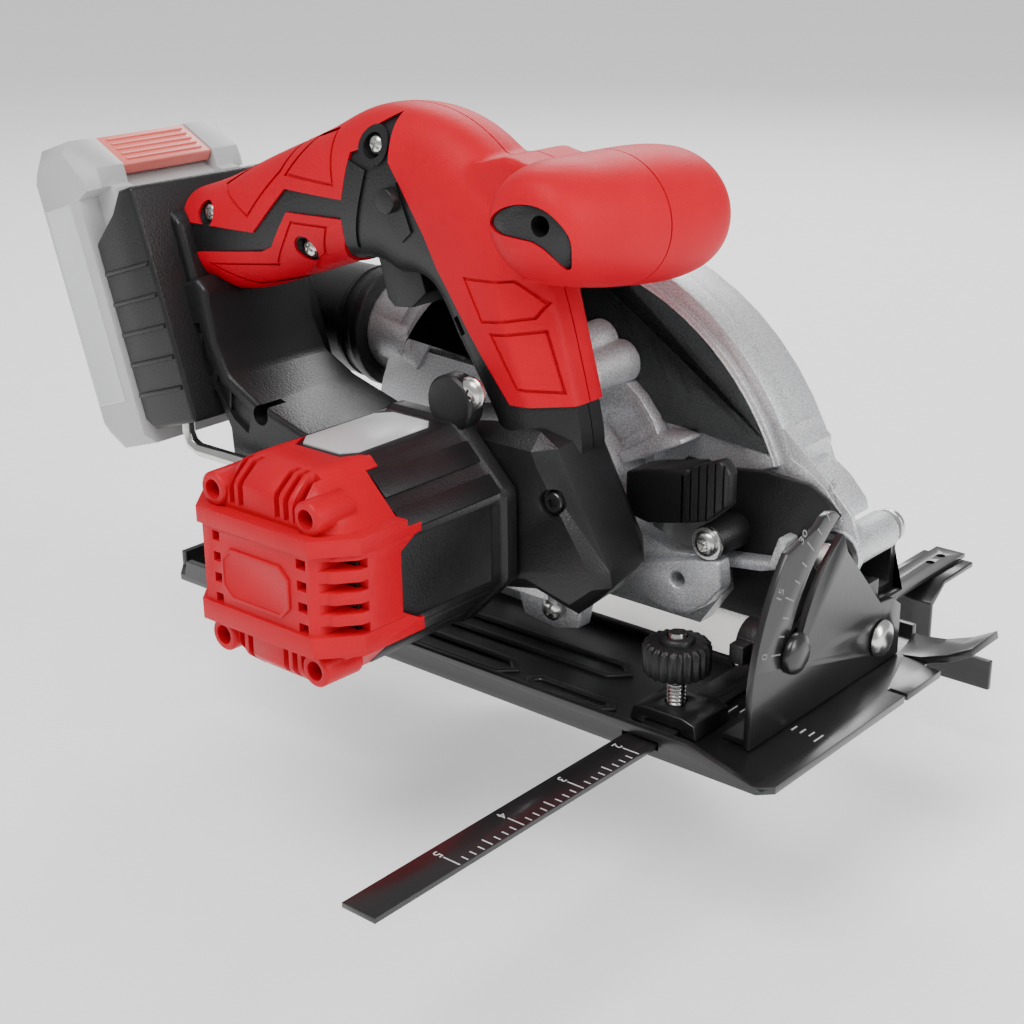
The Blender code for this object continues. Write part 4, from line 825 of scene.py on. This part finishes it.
def build_quadrant():
    centre = (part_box("front_pivot_rivet")[0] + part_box("front_pivot_rivet")[1]) / 2 / MM
    quadrant = from_node("bevel_quadrant_plate", "bevel_quadrant")
    finish(bevelled(quadrant, 0.5, 2, angle=40), "shoe", "black_steel", replaces=("bevel_quadrant",))
    front = 111.3
    pivot = (centre.y, centre.z)
    for i in range(10):
        a = radians(165 - 5 * i)
        inner, outer = (61.0, 66.5) if i % 3 == 0 else (61.0, 64.5)
        along = [(inner, -0.25), (outer, -0.25), (outer, 0.25), (inner, 0.25)]
        outline = [(pivot[0] + r * cos(a) - s * sin(a), pivot[1] + r * sin(a) + s * cos(a))
                   for r, s in along]
        tick = prism(f"bevel_tick_{i}", outline, "X", front - 0.1, front + 0.12)
        finish(tick, "shoe", material=SCALE_GREY)
        if i % 3 == 0:
            at = (front, pivot[0] + 69.6 * cos(a), pivot[1] + 69.6 * sin(a))
            across, outward = (0, sin(a), -cos(a)), (0, cos(a), sin(a))
            number(f"bevel_number_{5 * i}", str(5 * i), 4.4, at, across, outward, "shoe", SCALE_GREY)
    bracket = from_node("front_bracket", "front_hinge_bracket")
    spare = [block("front_spare", (104.5, 140), (34, 90), (22, 90)),
             block("top_spare", (80, 140), (36, 90), (42, 90))]
    cut(bracket, *spare, solver="EXACT")
    bevelled(bracket, 0.6, 2, angle=40)
    finish(bracket, "tilt_frame", "black_steel", replaces=("front_hinge_bracket",))


def build_fence():
    bar = from_node("fence_rule", "fence_bar")
    finish(bevelled(bar, 0.3, 2, angle=40), "fence", "black_steel", replaces=("fence_bar",))
    top, edge = BAR_HIGH.z, BAR_HIGH.x
    inch = 25.4
    per_inch = 8
    start = -66.0
    for i in range(3 * per_inch + 1):
        y = start - inch * i / per_inch
        length = 6.2 if i % per_inch == 0 else 4.2 if i % 4 == 0 else 2.8
        across = (edge - length, edge - 0.5)
        tick = block(f"fence_tick_{i}", across, (y - 0.22, y + 0.22), (top - 0.05, top + 0.06))
        finish(tick, "fence", material=MARKING)
        if i % per_inch == 0:
            at = (edge - 8.4, y, top)
            whole = i // per_inch
            number(f"fence_number_{whole}", str(2 + whole), 4.2, at, (0, -1, 0), (1, 0, 0), "fence")
    plate = from_node("fence_guide", "fence_plate")
    finish(bevelled(plate, 0.5, 2, angle=40), "fence", "black_steel", replaces=("fence_plate",))
    centre = ((STUD_LOW.x + STUD_HIGH.x) / 2, (STUD_LOW.y + STUD_HIGH.y) / 2)
    pitch = 1.25
    profile = [(STUD_LOW.z, 2.4)]
    for i in range(int((STUD_HIGH.z - STUD_LOW.z - 1) / pitch)):
        z = STUD_LOW.z + 0.4 + pitch * i
        profile += [(z, 2.45), (z + 0.5, 3.0), (z + 0.75, 3.0)]
    profile.append((STUD_HIGH.z, 2.4))
    finish(turned("clamp_stud_thread", "Z", centre, profile, steps=28), "fence_knob", "zinc_steel",
           replaces=("fence_clamp_stud",), sharp=60)
    bottom, top = (corner.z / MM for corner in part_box("fence_clamp_knob"))
    knob = lobed("clamp_knob", "Z", centre, 9.9, 0.45, 22, bottom + 1.2, top - 4.5)
    neck = turned("knob_neck", "Z", centre, [(bottom, 5.4), (bottom + 2.5, 6.4)], steps=32)
    joined(knob, neck, solver="EXACT")
    dome = turned("knob_dome", "Z", centre, [(top - 7, 5.8), (top - 3.2, 5.2), (top - 2.6, 4.4)])
    joined(knob, dome, solver="EXACT")
    cut(knob, turned("knob_bore", "Z", centre, [(0, 3.2), (top + 2, 3.2)], steps=28), solver="EXACT")
    finish(knob, "fence_knob", "black_plastic", replaces=("fence_clamp_knob",), sharp=50)


def build_dust_port():
    centre = ((PORT_LOW.y + PORT_HIGH.y) / 2, (PORT_LOW.z + PORT_HIGH.z) / 2)
    port = from_node("dust_port_tube", "dust_port")
    finish(bevelled(port, 0.5, 2, angle=50), "head", "black_plastic", replaces=("dust_port",))
    for i, x in enumerate((-138, -112)):
        profile = [(x, 20.7), (x + 0.3, 21.4), (x + 1.7, 21.4), (x + 2, 20.7)]
        ring = turned(f"port_ring_{i}", "X", centre, profile, steps=56)
        cut(ring, turned("ring_bore", "X", centre, [(x - 2, 20.0), (x + 4, 20.0)], steps=56), solver="EXACT")
        finish(ring, "head", "black_plastic")


def refine_rest():
    """Every other node: its own surface with eased edges and its slot's finish."""
    for node, body in BODY_OF.items():
        source = frame["nodes"][node]
        if source.hide_render:
            continue
        width = 0.25 if "gear" in node or "blade" in node else 0.4
        piece = from_node(f"{node}_fine", node)
        if node not in ("saw_blade", "drive_gear", "motor_shaft", "cooling_fan", "armature", "commutator"):
            bevelled(piece, width, 2, angle=40)
        finish(piece, body, SLOT_OF[node], replaces=(node,))


# Surroundings

def build_floor():
    floor_z = cad_box[0][2] - 0.004
    builder = bmesh.new()
    bmesh.ops.create_grid(builder, x_segments=8, y_segments=8, size=6)
    floor = mesh_object("floor", builder, scale=1.0)
    floor.location.z = floor_z
    pale = node_material("pale_floor", (0.86, 0.86, 0.86), 0.7, grain=0.02, grain_scale=200, mottle=0.01)
    glow = pale.node_tree.nodes["Principled BSDF"]
    glow.inputs["Emission Color"].default_value = (1, 1, 1, 1)
    glow.inputs["Emission Strength"].default_value = 0.45
    floor.data.materials.append(pale)


def add_light(name, place, target, size, power):
    data = bpy.data.lights.new(name, "AREA")
    data.shape = "RECTANGLE"
    data.size, data.size_y = size
    data.energy = power
    lamp = bpy.data.objects.new(name, data)
    bpy.context.scene.collection.objects.link(lamp)
    lamp.location = place
    lamp.rotation_euler = (Vector(target) - Vector(place)).to_track_quat("-Z", "Y").to_euler()


def build_lights():
    world = bpy.data.worlds.new("studio")
    bpy.context.scene.world = world
    world.use_nodes = True
    world.node_tree.nodes["Background"].inputs["Color"].default_value = (1, 1, 1, 1)
    world.node_tree.nodes["Background"].inputs["Strength"].default_value = 0.45
    middle = (-0.01, 0.0, 0.08)
    add_light("key", (0.1, -0.75, 1.25), middle, (0.8, 0.8), 17)
    add_light("side", (1.3, 0.1, 0.7), middle, (0.5, 1.0), 13)
    add_light("back", (-0.6, 1.1, 0.9), middle, (0.9, 0.5), 14)


def build_camera():
    azimuth, elevation, roll = radians(40.85), radians(20.6), radians(-0.75)
    back = Vector((sin(azimuth) * cos(elevation), -cos(azimuth) * cos(elevation), sin(elevation)))
    level = Vector((cos(azimuth), sin(azimuth), 0))
    upright = back.cross(level)
    right = level * cos(roll) + upright * sin(roll)
    up = upright * cos(roll) - level * sin(roll)
    data = bpy.data.cameras.new("camera")
    data.lens, data.sensor_width = 62.47, 36
    camera = bpy.data.objects.new("camera", data)
    bpy.context.scene.collection.objects.link(camera)
    turn = Matrix((right, up, back)).transposed().to_4x4()
    camera.matrix_world = Matrix.Translation((0.35748, -0.43017, 0.2482)) @ turn
    bpy.context.scene.camera = camera


build_camera()
build_handle()
build_column()
build_socket()
build_battery()
build_motor_housing()
build_motor_cap()
build_cover()
build_guard()
build_lever()
build_shoe()
build_quadrant()
build_fence()
build_dust_port()
refine_rest()
build_floor()
build_lights()
